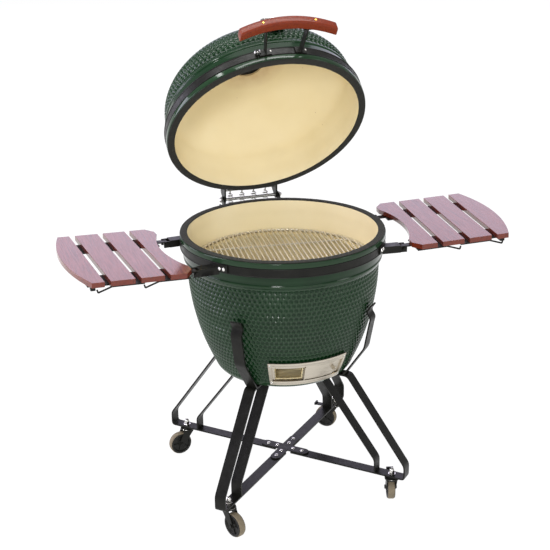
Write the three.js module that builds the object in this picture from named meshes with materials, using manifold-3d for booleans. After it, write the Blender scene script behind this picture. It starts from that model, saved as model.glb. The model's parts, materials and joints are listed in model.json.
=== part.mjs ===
// A ceramic kamado charcoal grill on a four-caster bar stand, with two folding slatted side shelves.
// Millimetres, +Z up. X runs along the lid hinge, -Y is the front (handle and draft door).
// The lid stands open. The origin is on the floor, under the middle of the whole object's box.
import * as THREE from "three";
import { mergeVertices } from "three/addons/utils/BufferGeometryUtils.js";
import Module from "manifold-3d";

const wasm = await Module();
wasm.setup();
const rad = THREE.MathUtils.degToRad;

// ---------- driving dimensions ----------
const GAP = 0.3; // between pieces that touch
const FACETS = 40; // round the large ceramic pieces
const EGG_Y = -58; // the ceramic body's axis; the open lid hangs behind it
const RIM_Z = 850; // the plane where lid and base gaskets meet
const LID_OPEN = 52.4; // lid angle in the modelled pose, degrees

// ceramic body, heights measured away from the rim plane
const RIM_R = 310;
const GASKET = { inner: 287, thick: 2.5 };
const LIP = 19; // plain glazed lip between gasket and band
const BAND = { inner: 306.4, outer: 310, width: 26.5 };
const RING_END = 79.5; // plain glazed ring above or below the band
const BEVEL_END = 91;
const WALL = 20;
const BOWL = { top: 106, radius: 291, depth: 478.6, power: 1.8, bottom: 438 };
const DOME = { base: 100, radius: 296, height: 170, hole: 56 };

// lid hinge and its assist springs, in the ceramic body's own frame
const HINGE = { y: 344.7, z: RIM_Z - 3, pin: 5, half: 93, ear: 5 };
const SPRING = { count: 4, pitch: 40, radius: 10, rod: 2.5 };
const SPRING_ANCHOR = { y: 376, z: 796 };
const SPRING_LIFT = { y: HINGE.y + 30, z: HINGE.z + 20 };

// draft door at the front of the base; angles are measured from the front towards +X
const DOOR = { low: 432, high: 517, half: 28.5, windowLow: 450, windowHigh: 497, lean: 5 };
const DOOR_WINDOW = { from: -24.5, to: -4 };
const DOOR_SLIDER = { from: -3.5, to: 21 };

// stand
const BAR = { width: 35, thick: 5 };
const CROSS_Z = 97.5; // middle of the bottom bars
const SADDLE_Z = RIM_Z - BOWL.bottom - GAP - BAR.thick / 2; // middle of the bars under the ceramic base
const FOOT = { outer: 418, inner: 320, bend: 142 };
const LEG_SLOPE = { outer: 54.1, inner: 53 };
const LEGS = [
  { name: "front_left", angle: -135, swivel: 69, brake: false },
  { name: "front_right", angle: -45, swivel: 118, brake: true },
  { name: "rear_right", angle: 45, swivel: 95, brake: true },
  { name: "rear_left", angle: 135, swivel: 55, brake: false },
];
const CASTER = { radius: 371, wheel: 37.5, tread: 24, trail: 28, stem: 5.5, axle: 4 };

// side shelves, in a frame at the middle of the inner slat's inner edge: x outward, y back, z up
const SHELF = { inner: 350.5, top: RIM_Z - 19, yaw: 4.9, tilt: 2.8, half: 208, slat: 15 };
const SLATS = [
  [0, 69.5],
  [85.5, 153],
  [169, 238],
  [255, 326],
];
const SHELF_ARC = { inner: 381, outer: 635, outerCentre: -309.5 };
const ARMS = [
  { name: "front", y: -148, width: 76 },
  { name: "rear", y: 127, width: 76 },
];
const FOLD = { x: -20, z: -22, pin: 3.5, knuckle: 8, width: 22 };
const SHELF_HOOKS = [10, 142]; // where each hook's strip starts

// handle, in the closed lid's frame
const HANDLE = { half: 141, y: -387, z: 880, riseY: -20, riseZ: 17, depth: 29, height: 27 };

// ---------- materials ----------
const finish = (color, roughness, metalness = 0) =>
  new THREE.MeshStandardMaterial({ color, roughness, metalness });
const MATERIAL = {
  glaze: finish(0x2f4a38, 0.22),
  ceramic: finish(0xe2d2a6, 0.6),
  felt: finish(0x23241f, 0.95),
  blackSteel: finish(0x33322f, 0.45, 0.3),
  zinc: finish(0xc4c4bd, 0.3, 0.9),
  stainless: finish(0xc0b8a9, 0.35, 0.9),
  castIron: finish(0x2b2b2a, 0.7, 0.5),
  shelfWood: finish(0x8c5a48, 0.35),
  handleWood: finish(0x90412a, 0.4),
  tyre: finish(0x8d8069, 0.7),
};

// ---------- solids ----------
// A geometry with merged vertices and its faces pointing out.
function tidy(geometry) {
  const bare = new THREE.BufferGeometry();
  bare.setAttribute("position", geometry.getAttribute("position"));
  if (geometry.index) bare.setIndex(geometry.index);
  const merged = mergeVertices(bare, 1e-4);
  const p = merged.getAttribute("position");
  const index = Array.from(merged.index.array);
  const kept = [];
  let volume = 0;
  const [a, b, c] = [new THREE.Vector3(), new THREE.Vector3(), new THREE.Vector3()];
  for (let i = 0; i < index.length; i += 3) {
    const [u, v, w] = index.slice(i, i + 3);
    if (u === v || v === w || w === u) continue;
    kept.push([u, v, w]);
    volume += a.fromBufferAttribute(p, u).dot(b.fromBufferAttribute(p, v).cross(c.fromBufferAttribute(p, w)));
  }
  merged.setIndex(kept.flatMap((t) => (volume < 0 ? t.reverse() : t)));
  return merged;
}

function manifoldOf(geometry) {
  const g = tidy(geometry);
  return new wasm.Manifold(
    new wasm.Mesh({
      numProp: 3,
      vertProperties: new Float32Array(g.getAttribute("position").array),
      triVerts: new Uint32Array(g.index.array),
    }),
  );
}

function geometryOf(manifold) {
  const mesh = manifold.getMesh();
  const g = new THREE.BufferGeometry();
  g.setAttribute("position", new THREE.BufferAttribute(mesh.vertProperties, 3));
  g.setIndex(new THREE.BufferAttribute(mesh.triVerts, 1));
  return g;
}

const join = (...pieces) => geometryOf(pieces.map(manifoldOf).reduce((a, b) => a.add(b)));
const cut = (piece, ...tools) =>
  geometryOf(tools.map(manifoldOf).reduce((a, b) => a.subtract(b), manifoldOf(piece)));

// A closed skin over rings of points with equal counts; outline is the first ring seen flat.
function skin(rings, outline) {
  const n = outline.length;
  const positions = [];
  const triangle = (...points) => points.forEach((p) => positions.push(...p));
  for (let i = 0; i + 1 < rings.length; i++)
    for (let j = 0; j < n; j++) {
      const k = (j + 1) % n;
      triangle(rings[i][j], rings[i][k], rings[i + 1][k]);
      triangle(rings[i][j], rings[i + 1][k], rings[i + 1][j]);
    }
  const flat = outline.map(([x, y]) => new THREE.Vector2(x, y));
  const turn = THREE.ShapeUtils.isClockWise(flat) ? -1 : 1;
  for (const face of THREE.ShapeUtils.triangulateShape(flat, [])) {
    const [a, b, c] = turn > 0 ? face : [...face].reverse();
    triangle(rings[0][a], rings[0][c], rings[0][b]);
    triangle(rings.at(-1)[a], rings.at(-1)[b], rings.at(-1)[c]);
  }
  const g = new THREE.BufferGeometry();
  g.setAttribute("position", new THREE.Float32BufferAttribute(positions, 3));
  return g;
}

// A solid of revolution about Z from a closed outline of [radius, height] points.
function revolve(outline, facets = FACETS) {
  const points = outline.map(([r, z]) => new THREE.Vector2(r, z));
  if (outline[0][0] > 0 || outline.at(-1)[0] > 0) points.push(points[0].clone());
  return tidy(new THREE.LatheGeometry(points, facets).rotateX(Math.PI / 2));
}

// Part of such a solid between two angles, measured from the front towards +X.
function sector(outline, from, to, steps) {
  const counter = THREE.ShapeUtils.isClockWise(outline.map(([r, z]) => new THREE.Vector2(r, z)))
    ? [...outline].reverse()
    : outline;
  const rings = Array.from({ length: steps + 1 }, (_, i) => {
    const a = rad(from + ((to - from) * i) / steps);
    return counter.map(([r, z]) => [r * Math.sin(a), -r * Math.cos(a), z]);
  });
  return skin(rings, counter);
}

const box = (x0, x1, y0, y1, z0, z1) =>
  new THREE.BoxGeometry(x1 - x0, y1 - y0, z1 - z0).translate((x0 + x1) / 2, (y0 + y1) / 2, (z0 + z1) / 2);

// A cylinder between two points.
function rod(from, to, radius, facets = 12) {
  const [a, b] = [new THREE.Vector3(...from), new THREE.Vector3(...to)];
  const along = b.clone().sub(a);
  const turn = new THREE.Quaternion().setFromUnitVectors(
    new THREE.Vector3(0, 1, 0),
    along.clone().normalize(),
  );
  return new THREE.CylinderGeometry(radius, radius, along.length(), facets)
    .applyQuaternion(turn)
    .translate(...a.add(b).multiplyScalar(0.5).toArray());
}

// Round bars that follow a line of points and overlap at each bend.
const rods = (points, radius, facets) =>
  join(...points.slice(1).map((p, i) => rod(points[i], p, radius, facets)));

// The points of a path with each corner replaced by an arc.
function rounded(points, radius, steps = 3) {
  const v = points.map((p) => new THREE.Vector2(...p));
  const out = [v[0]];
  for (let i = 1; i + 1 < v.length; i++) {
    const before = v[i - 1].clone().sub(v[i]);
    const after = v[i + 1].clone().sub(v[i]);
    const reach = Math.min(radius, before.length() * 0.45, after.length() * 0.45);
    const a = v[i].clone().add(before.setLength(reach));
    const b = v[i].clone().add(after.setLength(reach));
    const bend = new THREE.QuadraticBezierCurve(a, v[i], b);
    out.push(...bend.getPoints(steps));
  }
  out.push(v.at(-1));
  return out;
}

// A flat bar bent along a path of [radius, height] points, its width across the path's plane.
function bentBar(points, { width, thick }, bend = 10) {
  const path = rounded(points, bend);
  const side = (sign) =>
    path.map((p, i) => {
      const into = p.clone().sub(path[Math.max(i - 1, 0)]);
      const out = path[Math.min(i + 1, path.length - 1)].clone().sub(p);
      const a = (into.lengthSq() ? into : out).clone().normalize();
      const b = (out.lengthSq() ? out : into).clone().normalize();
      const mid = a.clone().add(b).normalize();
      const offset = thick / 2 / Math.max(mid.dot(a), 0.35);
      return new THREE.Vector2(p.x - mid.y * offset * sign, p.y + mid.x * offset * sign);
    });
  const shape = new THREE.Shape([...side(1), ...side(-1).reverse()]);
  return new THREE.ExtrudeGeometry(shape, { depth: width, bevelEnabled: false })
    .translate(0, 0, -width / 2)
    .rotateX(Math.PI / 2);
}

// A flat plate from an outline in X and Y, between two heights.
function plate(shape, z0, z1, curveSegments = 12) {
  return new THREE.ExtrudeGeometry(shape, { depth: z1 - z0, bevelEnabled: false, curveSegments })
    .translate(0, 0, z0);
}

// ---------- scene graph helpers ----------
const grill = new THREE.Group();

function group(parent, x = 0, y = 0, z = 0) {
  const g = new THREE.Group();
  g.position.set(x, y, z);
  parent.add(g);
  return g;
}

function add(parent, name, geometry, material) {
  const mesh = new THREE.Mesh(tidy(geometry), material);
  mesh.name = name;
  parent.add(mesh);
  return mesh;
}

const ways = (count) => Array.from({ length: count }, (_, i) => i);

// ---------- ceramic shells ----------
// Heights are distances from the rim plane; away is -1 for the base and 1 for the lid.
const rimOutline = (away) => {
  const h = (d) => RIM_Z + away * d;
  return [
    [RIM_R - 1.5, h(GASKET.thick + 2 * GAP)],
    [RIM_R, h(5)],
    [RIM_R, h(LIP - GAP)],
    [BAND.inner - GAP, h(LIP - GAP)],
    [BAND.inner - GAP, h(LIP + BAND.width + GAP)],
    [304.5, h(LIP + BAND.width + GAP)],
    [299.5, h(RING_END - 4)],
    [298.5, h(RING_END)],
    [294.5, h(BEVEL_END)],
  ];
};

const bowlRadius = (depth) =>
  BOWL.radius * Math.sqrt(1 - (Math.max(depth - BOWL.top, 0) / BOWL.depth) ** BOWL.power);
const domeRadius = (height, wall = 0) =>
  (DOME.radius - wall) * Math.sqrt(1 - (Math.max(height - DOME.base, 0) / (DOME.height - wall)) ** 2);

function baseShell() {
  const bottom = RIM_Z - BOWL.bottom;
  const bowl = (from, to, count, wall = 0) =>
    ways(count).map((i) => {
      const depth = from + (i * (to - from)) / (count - 1);
      return [bowlRadius(depth) - wall, RIM_Z - depth];
    });
  const shell = revolve([
    [0, bottom], [188, bottom], [202, RIM_Z - 432],
    ...bowl(424, BOWL.top, 7), ...rimOutline(-1).reverse(),
    [GASKET.inner, RIM_Z - GASKET.thick - 2 * GAP], [GASKET.inner, RIM_Z - 40], [276, RIM_Z - 80],
    ...bowl(104, 410, 6, WALL), [176, bottom + 22], [0, bottom + 22],
  ]);
  const window = [
    [160, DOOR.windowLow],
    [270, DOOR.windowLow],
    [270, DOOR.windowHigh],
    [160, DOOR.windowHigh],
  ];
  return cut(shell, sector(window, DOOR_WINDOW.from, DOOR_WINDOW.to, 4));
}

function lidShell() {
  const rise = (radius, wall) =>
    DOME.base + (DOME.height - wall) * Math.sqrt(1 - (radius / (DOME.radius - wall)) ** 2);
  const arc = (wall, last) =>
    ways(8).map((i) => {
      const a = (i / 7) * Math.acos(last / (DOME.radius - wall));
      const r = (DOME.radius - wall) * Math.cos(a);
      return [r, RIM_Z + rise(r, wall)];
    });
  const outline = [
    ...rimOutline(1),
    ...arc(0, DOME.hole),
    ...arc(WALL, DOME.hole).reverse(),
    [GASKET.inner, RIM_Z + 50],
    [GASKET.inner, RIM_Z + GASKET.thick + 2 * GAP],
  ];
  return revolve(outline);
}

const ring = (inner, outer, low, high, facets) =>
  revolve([[inner, low], [outer, low], [outer, high], [inner, high]], facets);

// ---------- build the egg ----------
const egg = group(grill, 0, EGG_Y);
const lidPivot = group(egg, 0, HINGE.y, HINGE.z);
lidPivot.rotation.x = -rad(LID_OPEN);
const lid = group(lidPivot, 0, -HINGE.y, -HINGE.z);

add(egg, "base_shell", baseShell(), MATERIAL.glaze);
add(egg, "base_gasket", ring(GASKET.inner, RIM_R - 1.5, RIM_Z - GAP - GASKET.thick, RIM_Z - GAP), MATERIAL.felt);
add(egg, "base_band",
  ring(BAND.inner, BAND.outer, RIM_Z - LIP - BAND.width, RIM_Z - LIP - 2 * GAP), MATERIAL.blackSteel);
add(lid, "lid_gasket", ring(GASKET.inner, RIM_R - 1.5, RIM_Z + GAP, RIM_Z + GAP + GASKET.thick), MATERIAL.felt);
add(lid, "lid_band",
  ring(BAND.inner, BAND.outer, RIM_Z + LIP + 2 * GAP, RIM_Z + LIP + BAND.width), MATERIAL.blackSteel);

// ---------- inside the base ----------
const FLOOR_Z = RIM_Z - BOWL.bottom + 22 + GAP;
const FIRE_BOX_TOP = 640;
const FIRE_RING_TOP = 750;
const COAL_GRATE_Z = 506;

function fireBox() {
  const outer = ways(5).map((i) => {
    const z = FLOOR_Z + 16 + (i * (FIRE_BOX_TOP - FLOOR_Z - 16)) / 4;
    return [bowlRadius(RIM_Z - z) - WALL - 7, z];
  });
  const shell = revolve([
    [90, FLOOR_Z], [160, FLOOR_Z], ...outer,
    [outer[4][0] - 24, FIRE_BOX_TOP], [190, COAL_GRATE_Z + 30], [186, COAL_GRATE_Z - GAP],
    [150, COAL_GRATE_Z - GAP], [120, FLOOR_Z + 30], [90, FLOOR_Z + 30],
  ]);
  const arch = sector(
    [[60, FLOOR_Z - 5], [260, FLOOR_Z - 5], [260, DOOR.windowHigh - 6], [60, DOOR.windowHigh - 6]],
    DOOR_WINDOW.from - 4, -DOOR_WINDOW.from + 4, 4);
  const holes = ways(6).map((i) => {
    const a = rad(60 * i);
    return rod([120 * Math.cos(a), 120 * Math.sin(a), 590], [260 * Math.cos(a), 260 * Math.sin(a), 560], 12, 6);
  });
  return cut(shell, arch, ...holes);
}

function fireRing() {
  const r = (z) => bowlRadius(RIM_Z - z) - WALL - 7;
  const low = FIRE_BOX_TOP + GAP;
  return revolve([
    [r(low) - 24, low], [r(low), low], [r(700), 700], [r(FIRE_RING_TOP), FIRE_RING_TOP],
    [r(FIRE_RING_TOP) - 22, FIRE_RING_TOP], [r(700) - 22, 700],
  ]);
}

function charcoalGrate() {
  const disc = revolve([[0, COAL_GRATE_Z], [180, COAL_GRATE_Z], [180, COAL_GRATE_Z + 9], [0, COAL_GRATE_Z + 9]]);
  const slot = (y, x0, x1) => box(x0, x1, y - 5, y + 5, COAL_GRATE_Z - 5, COAL_GRATE_Z + 14);
  const slots = ways(13).flatMap((i) => {
    const y = (i - 6) * 24;
    const reach = Math.sqrt(162 ** 2 - y ** 2);
    return reach > 80 ? [slot(y, -reach, -8), slot(y, 8, reach)] : [slot(y, -reach, reach)];
  });
  return cut(disc, ...slots);
}

function cookingGrid() {
  const radius = 266;
  const wire = 5;
  const pitch = 36;
  const z = FIRE_RING_TOP + GAP;
  const wires = ways(15).map((i) => {
    const x = (i - 7) * pitch;
    const reach = Math.sqrt(radius ** 2 - x ** 2) - 1;
    return box(x - wire / 2, x + wire / 2, -reach, reach, z + wire, z + 2 * wire);
  });
  const bars = [-130, 0, 130].map((y) => {
    const reach = Math.sqrt(radius ** 2 - y ** 2) - 1;
    return box(-reach, reach, y - 3, y + 3, z, z + wire + 1);
  });
  const hoop = ring(radius - 4, radius + 4, z, z + 8);
  return join(hoop, ...bars, ...wires).rotateZ(rad(-6));
}

add(egg, "fire_box", fireBox(), MATERIAL.ceramic);
add(egg, "fire_ring", fireRing(), MATERIAL.ceramic);
add(egg, "charcoal_grate", charcoalGrate(), MATERIAL.castIron);
add(egg, "cooking_grid", cookingGrid(), MATERIAL.zinc);

// ---------- draft door ----------
// The door's plates follow the bowl; off is how far they stand from it.
function doorPlate(off, thick, low, high, from, to) {
  const heights = ways(3).map((i) => low + ((high - low) * i) / 2);
  const line = (d) => heights.map((z) => [bowlRadius(RIM_Z - z) + d, z]);
  return sector([...line(off), ...line(off + thick).reverse()], from, to, Math.ceil((to - from) / 4.5));
}

function doorFrame() {
  const { low, high, half, windowLow, windowHigh, lean } = DOOR;
  const back = doorPlate(1, 2, low, high, -half, half);
  const rail = (z0, z1) => doorPlate(2, 6, z0, z1, -half, half);
  const end = (a0, a1) => doorPlate(2, 6, low, high, a0, a1);
  const opening = doorPlate(-lean, 16, windowLow, windowHigh, DOOR_WINDOW.from, DOOR_WINDOW.to);
  return cut(join(back, rail(low, windowLow - 6), rail(windowHigh + 6, high), end(-half, -half + 2.5),
    end(half - 2.5, half)), opening);
}

function doorSlider() {
  const slide = doorPlate(3.6, 2, DOOR.windowLow - 5, DOOR.windowHigh + 5, DOOR_SLIDER.from, DOOR_SLIDER.to);
  const tab = doorPlate(4, 15, 470, 482, DOOR_SLIDER.to - 2, DOOR_SLIDER.to - 1);
  return join(slide, tab);
}

add(egg, "draft_door_frame", doorFrame(), MATERIAL.stainless);
add(egg, "draft_door_slider", doorSlider(), MATERIAL.stainless);

// ---------- lid parts ----------
const CHIMNEY_Z = RIM_Z + DOME.base + DOME.height * Math.sqrt(1 - (78 / DOME.radius) ** 2);
const VENT_Z = CHIMNEY_Z + 46;
const VENT_HOLES = 5;

const ventHoles = (z0, z1) =>
  ways(VENT_HOLES).map((i) => {
    const a = rad((360 / VENT_HOLES) * i);
    return rod([33 * Math.cos(a), 33 * Math.sin(a), z0], [33 * Math.cos(a), 33 * Math.sin(a), z1], 10.5, 8);
  });

function chimneyCollar() {
  const tall = VENT_Z - CHIMNEY_Z;
  const body = revolve([
    [0, VENT_Z - 4], [0, VENT_Z], [58, VENT_Z], [58, CHIMNEY_Z + 9], [74, CHIMNEY_Z + 6],
    [76, CHIMNEY_Z + 1.5], [64, CHIMNEY_Z + 4.5], [54, CHIMNEY_Z + 4.5], [54, VENT_Z - 4],
  ], 24);
  return cut(body, ...ventHoles(VENT_Z - tall / 2, VENT_Z + 5));
}

function ventDisc() {
  const z = VENT_Z + GAP;
  const disc = revolve([[0, z], [59, z], [59, z + 3], [52, z + 6], [0, z + 8]], 24);
  const knob = rod([0, 0, z + 5], [0, 0, z + 30], 9);
  const tab = box(50, 78, -7, 7, z + 0.5, z + 4);
  return join(cut(disc, ...ventHoles(z - 2, z + 20)), knob, tab);
}

const GAUGE = { radius: 38, height: 150, depth: 14 };
const gaugeTilt = Math.atan2(
  (GAUGE.height - DOME.base) / DOME.height ** 2,
  domeRadius(GAUGE.height) / DOME.radius ** 2,
);
const gauge = group(lid, 0, -domeRadius(GAUGE.height), RIM_Z + GAUGE.height);
gauge.rotation.x = Math.PI / 2 - gaugeTilt;

// The gauge's own axis is Z, out of the lid.
function thermometerBody() {
  const cup = revolve([
    [0, 3], [0, 6], [GAUGE.radius - 4, 6], [GAUGE.radius - 4, 3 + GAUGE.depth],
    [GAUGE.radius, 1 + GAUGE.depth], [GAUGE.radius, 3],
  ], 24);
  return join(cup, rod([0, 0, -70], [0, 0, 5], 3), rod([0, 0, 5], [0, 0, 9], 2.5));
}

function thermometerNeedle() {
  const hub = ring(2.8, 5.5, 9.3 - 2, 9.3, 12);
  const hand = box(-0.9, 0.9, 4, GAUGE.radius - 8, 7.8, 8.8);
  return join(hub, hand).rotateZ(rad(135));
}

gauge.updateMatrix();
const gaugeHole = rod([0, 0, -60], [0, 0, 20], 5).applyMatrix4(gauge.matrix);
add(lid, "lid_shell", cut(lidShell(), gaugeHole), MATERIAL.glaze);
add(lid, "chimney_collar", chimneyCollar(), MATERIAL.castIron);
add(lid, "vent_disc", ventDisc(), MATERIAL.castIron);
add(gauge, "thermometer_body", thermometerBody(), MATERIAL.stainless);
add(gauge, "thermometer_needle", thermometerNeedle(), MATERIAL.blackSteel);

// ---------- handle ----------
const HANDLE_BRACKET = { x: 52, splay: 9, height: 22, thick: 4, foot: 34 };

// Where the bowed grip's middle line is, at x.
const gripAt = (x) => {
  const bow = 1 - (x / HANDLE.half) ** 2;
  return [HANDLE.y + HANDLE.riseY * bow, HANDLE.z + HANDLE.riseZ * bow];
};

function handleGrip() {
  const [d, h, c] = [HANDLE.depth / 2, HANDLE.height / 2, 3];
  const section = [
    [-d + c, -h], [d - c, -h], [d, -h + c], [d, h - c], [d - c, h], [-d + c, h], [-d, h - c], [-d, -h + c],
  ];
  const rings = ways(17).map((i) => {
    const x = HANDLE.half * (i / 8 - 1);
    const [y, z] = gripAt(x);
    return section.map(([v, w]) => [x, y + v, z + w]);
  });
  return skin(rings, section);
}

function handleBracket(side) {
  const { x, splay, height, thick, foot } = HANDLE_BRACKET;
  const bandZ = RIM_Z + LIP + BAND.width / 2;
  const [gripY] = gripAt(x + splay + 14);
  const [, gripZ] = gripAt(x);
  const start = -Math.sqrt(BAND.outer ** 2 - x ** 2) + 6;
  const end = gripY + HANDLE.depth / 2 + GAP;
  // The arm's corners on its middle plane: two at the band, two at the grip.
  const corners = [
    [x, start, bandZ - height / 2],
    [x + splay, end, gripZ - height * 0.4],
    [x + splay, end, gripZ + height * 0.4],
    [x, start, bandZ + height / 2],
  ];
  const at = (shift) => corners.map(([u, y, z]) => [side * u + shift, y, z]);
  const arm = skin([at(-thick / 2), at(thick / 2)], corners.map(([, y, z]) => [y, z]));
  const angle = THREE.MathUtils.radToDeg(Math.asin(x / BAND.outer));
  const half = THREE.MathUtils.radToDeg(foot / 2 / BAND.outer);
  const clamp = sector([[BAND.outer + 0.9, bandZ - 11], [BAND.outer + 4, bandZ - 11],
    [BAND.outer + 4, bandZ + 11], [BAND.outer + 0.9, bandZ + 11]], side * angle - half, side * angle + half, 4);
  const tongue = box(side * (x + splay) - 14, side * (x + splay) + 14, end, end + 3.4, gripZ - 9, gripZ + 9);
  const clear = revolve([[0, bandZ - 40], [BAND.outer + 0.8, bandZ - 40], [BAND.outer + 0.8, bandZ + 40],
    [0, bandZ + 40]]);
  return cut(join(arm, clamp, tongue), clear);
}

add(lid, "handle_grip", handleGrip(), MATERIAL.handleWood);
add(lid, "handle_bracket_left", handleBracket(-1), MATERIAL.blackSteel);
add(lid, "handle_bracket_right", handleBracket(1), MATERIAL.blackSteel);

// ---------- lid hinge ----------
const bandClear = (away) => {
  const [a, b] = [RIM_Z + away * 5, RIM_Z + away * 80];
  return revolve([[0, a], [RIM_R + 0.9, a], [RIM_R + 0.9, b], [0, b]]);
};

// One curved strap on the band's back, with two ears that reach the pin.
function hingeBracket(away, earX) {
  const z = (d) => RIM_Z + away * d;
  const strap = sector([[RIM_R + 0.8, z(LIP + 1)], [RIM_R + 5, z(LIP + 1)],
    [RIM_R + 5, z(LIP + BAND.width)], [RIM_R + 0.8, z(LIP + BAND.width)]], 180 - 21, 180 + 21, 10);
  const ears = [-1, 1].map((side) => {
    const x = side * earX;
    const shape = new THREE.Shape();
    shape.moveTo(292, away * (LIP + 2) + 3);
    shape.lineTo(292, away * (LIP + BAND.width - 1) + 3);
    shape.lineTo(RIM_R + 22, away * (LIP + BAND.width - 1) + 3);
    shape.absarc(HINGE.y, 0, 11, away > 0 ? 1.2 : -1.2, away > 0 ? -2.4 : 2.4, away > 0);
    const ear = new THREE.ExtrudeGeometry(shape, { depth: HINGE.ear, bevelEnabled: false, curveSegments: 8 });
    ear.applyMatrix4(new THREE.Matrix4().makeBasis(
      new THREE.Vector3(0, 1, 0), new THREE.Vector3(0, 0, 1), new THREE.Vector3(1, 0, 0)));
    return ear.translate(x - HINGE.ear / 2, 0, HINGE.z);
  });
  return { strap, ears };
}

function hingeBaseBracket() {
  const { strap, ears } = hingeBracket(-1, HINGE.half);
  const hooks = [-1, 1].map((side) =>
    box(side * HINGE.half - HINGE.ear / 2, side * HINGE.half + HINGE.ear / 2,
      RIM_R + 2, SPRING_ANCHOR.y + 7, SPRING_ANCHOR.z - 7, RIM_Z - LIP - 10));
  const hole = rod([-120, HINGE.y, HINGE.z], [120, HINGE.y, HINGE.z], HINGE.pin + 0.4, 16);
  const anchor = rod([-120, SPRING_ANCHOR.y, SPRING_ANCHOR.z], [120, SPRING_ANCHOR.y, SPRING_ANCHOR.z],
    SPRING.rod + GAP);
  return cut(join(strap, ...ears, ...hooks), bandClear(-1), hole, anchor);
}

function hingeLidBracket() {
  const earX = HINGE.half - HINGE.ear - 1;
  const { strap, ears } = hingeBracket(1, earX);
  // The lift rod's place when the lid is closed.
  const [dy, dz] = [SPRING_LIFT.y - HINGE.y, SPRING_LIFT.z - HINGE.z];
  const [c, s] = [Math.cos(rad(LID_OPEN)), Math.sin(rad(LID_OPEN))];
  const [y, z] = [HINGE.y + dy * c - dz * s, HINGE.z + dy * s + dz * c];
  const levers = [-1, 1].map((side) =>
    box(side * earX - HINGE.ear / 2, side * earX + HINGE.ear / 2, y - 10, y + 8, HINGE.z + 3, z + 7));
  const hole = rod([-120, HINGE.y, HINGE.z], [120, HINGE.y, HINGE.z], HINGE.pin + 0.4, 16);
  const lift = rod([-120, y, z], [120, y, z], SPRING.rod + GAP);
  return { bracket: cut(join(strap, ...ears, ...levers), bandClear(1), hole, lift), y, z };
}

const lidBracket = hingeLidBracket();
const acrossX = (y, z, half, radius, facets) => rod([-half, y, z], [half, y, z], radius, facets);
add(egg, "hinge_base_bracket", hingeBaseBracket(), MATERIAL.blackSteel);
add(lid, "hinge_lid_bracket", lidBracket.bracket, MATERIAL.blackSteel);
add(egg, "hinge_pin", acrossX(HINGE.y, HINGE.z, HINGE.half + 7, HINGE.pin, 16), MATERIAL.zinc);
add(egg, "spring_anchor_rod",
  acrossX(SPRING_ANCHOR.y, SPRING_ANCHOR.z, HINGE.half + 6, SPRING.rod), MATERIAL.zinc);
add(lid, "spring_lift_rod", acrossX(lidBracket.y, lidBracket.z, HINGE.half - 3, SPRING.rod), MATERIAL.zinc);
ways(SPRING.count).forEach((i) => {
  const x = (i - (SPRING.count - 1) / 2) * SPRING.pitch;
  const clear = SPRING.rod + 1.5;
  add(egg, `hinge_spring_${i + 1}`,
    rod([x, SPRING_ANCHOR.y, SPRING_ANCHOR.z + clear], [x, SPRING_LIFT.y, SPRING_LIFT.z - clear],
      SPRING.radius, 10), MATERIAL.zinc);
});

// ---------- stand ----------
const CRADLE = [
  [208, SADDLE_Z],
  [214, SADDLE_Z + 6],
  [279, 512],
  [295, 596],
  [299, 612],
  [285.5, 632],
  [299, 653],
];

// One leg frame in its own upright plane: X is the way out from the middle.
function legFrame() {
  const slope = (from, degrees, z) => from - (z - FOOT.bend) / Math.tan(rad(degrees));
  const loop = bentBar([
    [27, CROSS_Z],
    [FOOT.outer, CROSS_Z],
    [FOOT.outer, FOOT.bend],
    [slope(FOOT.outer, LEG_SLOPE.outer, SADDLE_Z), SADDLE_Z],
    [27, SADDLE_Z],
  ], BAR);
  const strut = bentBar([
    [FOOT.inner, CROSS_Z],
    [FOOT.inner, FOOT.bend],
    [slope(FOOT.inner, LEG_SLOPE.inner, SADDLE_Z), SADDLE_Z],
  ], BAR);
  const cradle = bentBar([[190, SADDLE_Z], ...CRADLE], BAR, 9);
  const stemHole = rod([CASTER.radius, 0, CROSS_Z - 10], [CASTER.radius, 0, CROSS_Z + 10], CASTER.stem + GAP);
  return cut(join(loop, strut, cradle), stemHole);
}

// A plus-shaped plate with round ends, on the four bars.
function crossPlate(z, arm, turned) {
  const half = BAR.width / 2 - 1;
  const shape = new THREE.Shape();
  shape.moveTo(arm, -half);
  ways(4).forEach((i) => {
    const a = (i * Math.PI) / 2;
    const [c, s] = [Math.cos(a), Math.sin(a)];
    shape.lineTo(arm * c + half * s, arm * s - half * c);
    shape.absarc(arm * c, arm * s, half, a - Math.PI / 2, a + Math.PI / 2, false);
    shape.lineTo(half * c - half * s, half * s + half * c);
  });
  return plate(shape, z, z + BAR.thick - 1, 8).rotateZ(rad(turned));
}

add(grill, "stand_cross_plate", crossPlate(CROSS_Z + BAR.thick / 2 + GAP, 66, 45).translate(0, EGG_Y, 0),
  MATERIAL.blackSteel);
add(grill, "stand_saddle_plate",
  crossPlate(SADDLE_Z - BAR.thick / 2 - GAP - BAR.thick + 1, 66, 45).translate(0, EGG_Y, 0), MATERIAL.blackSteel);

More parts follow.
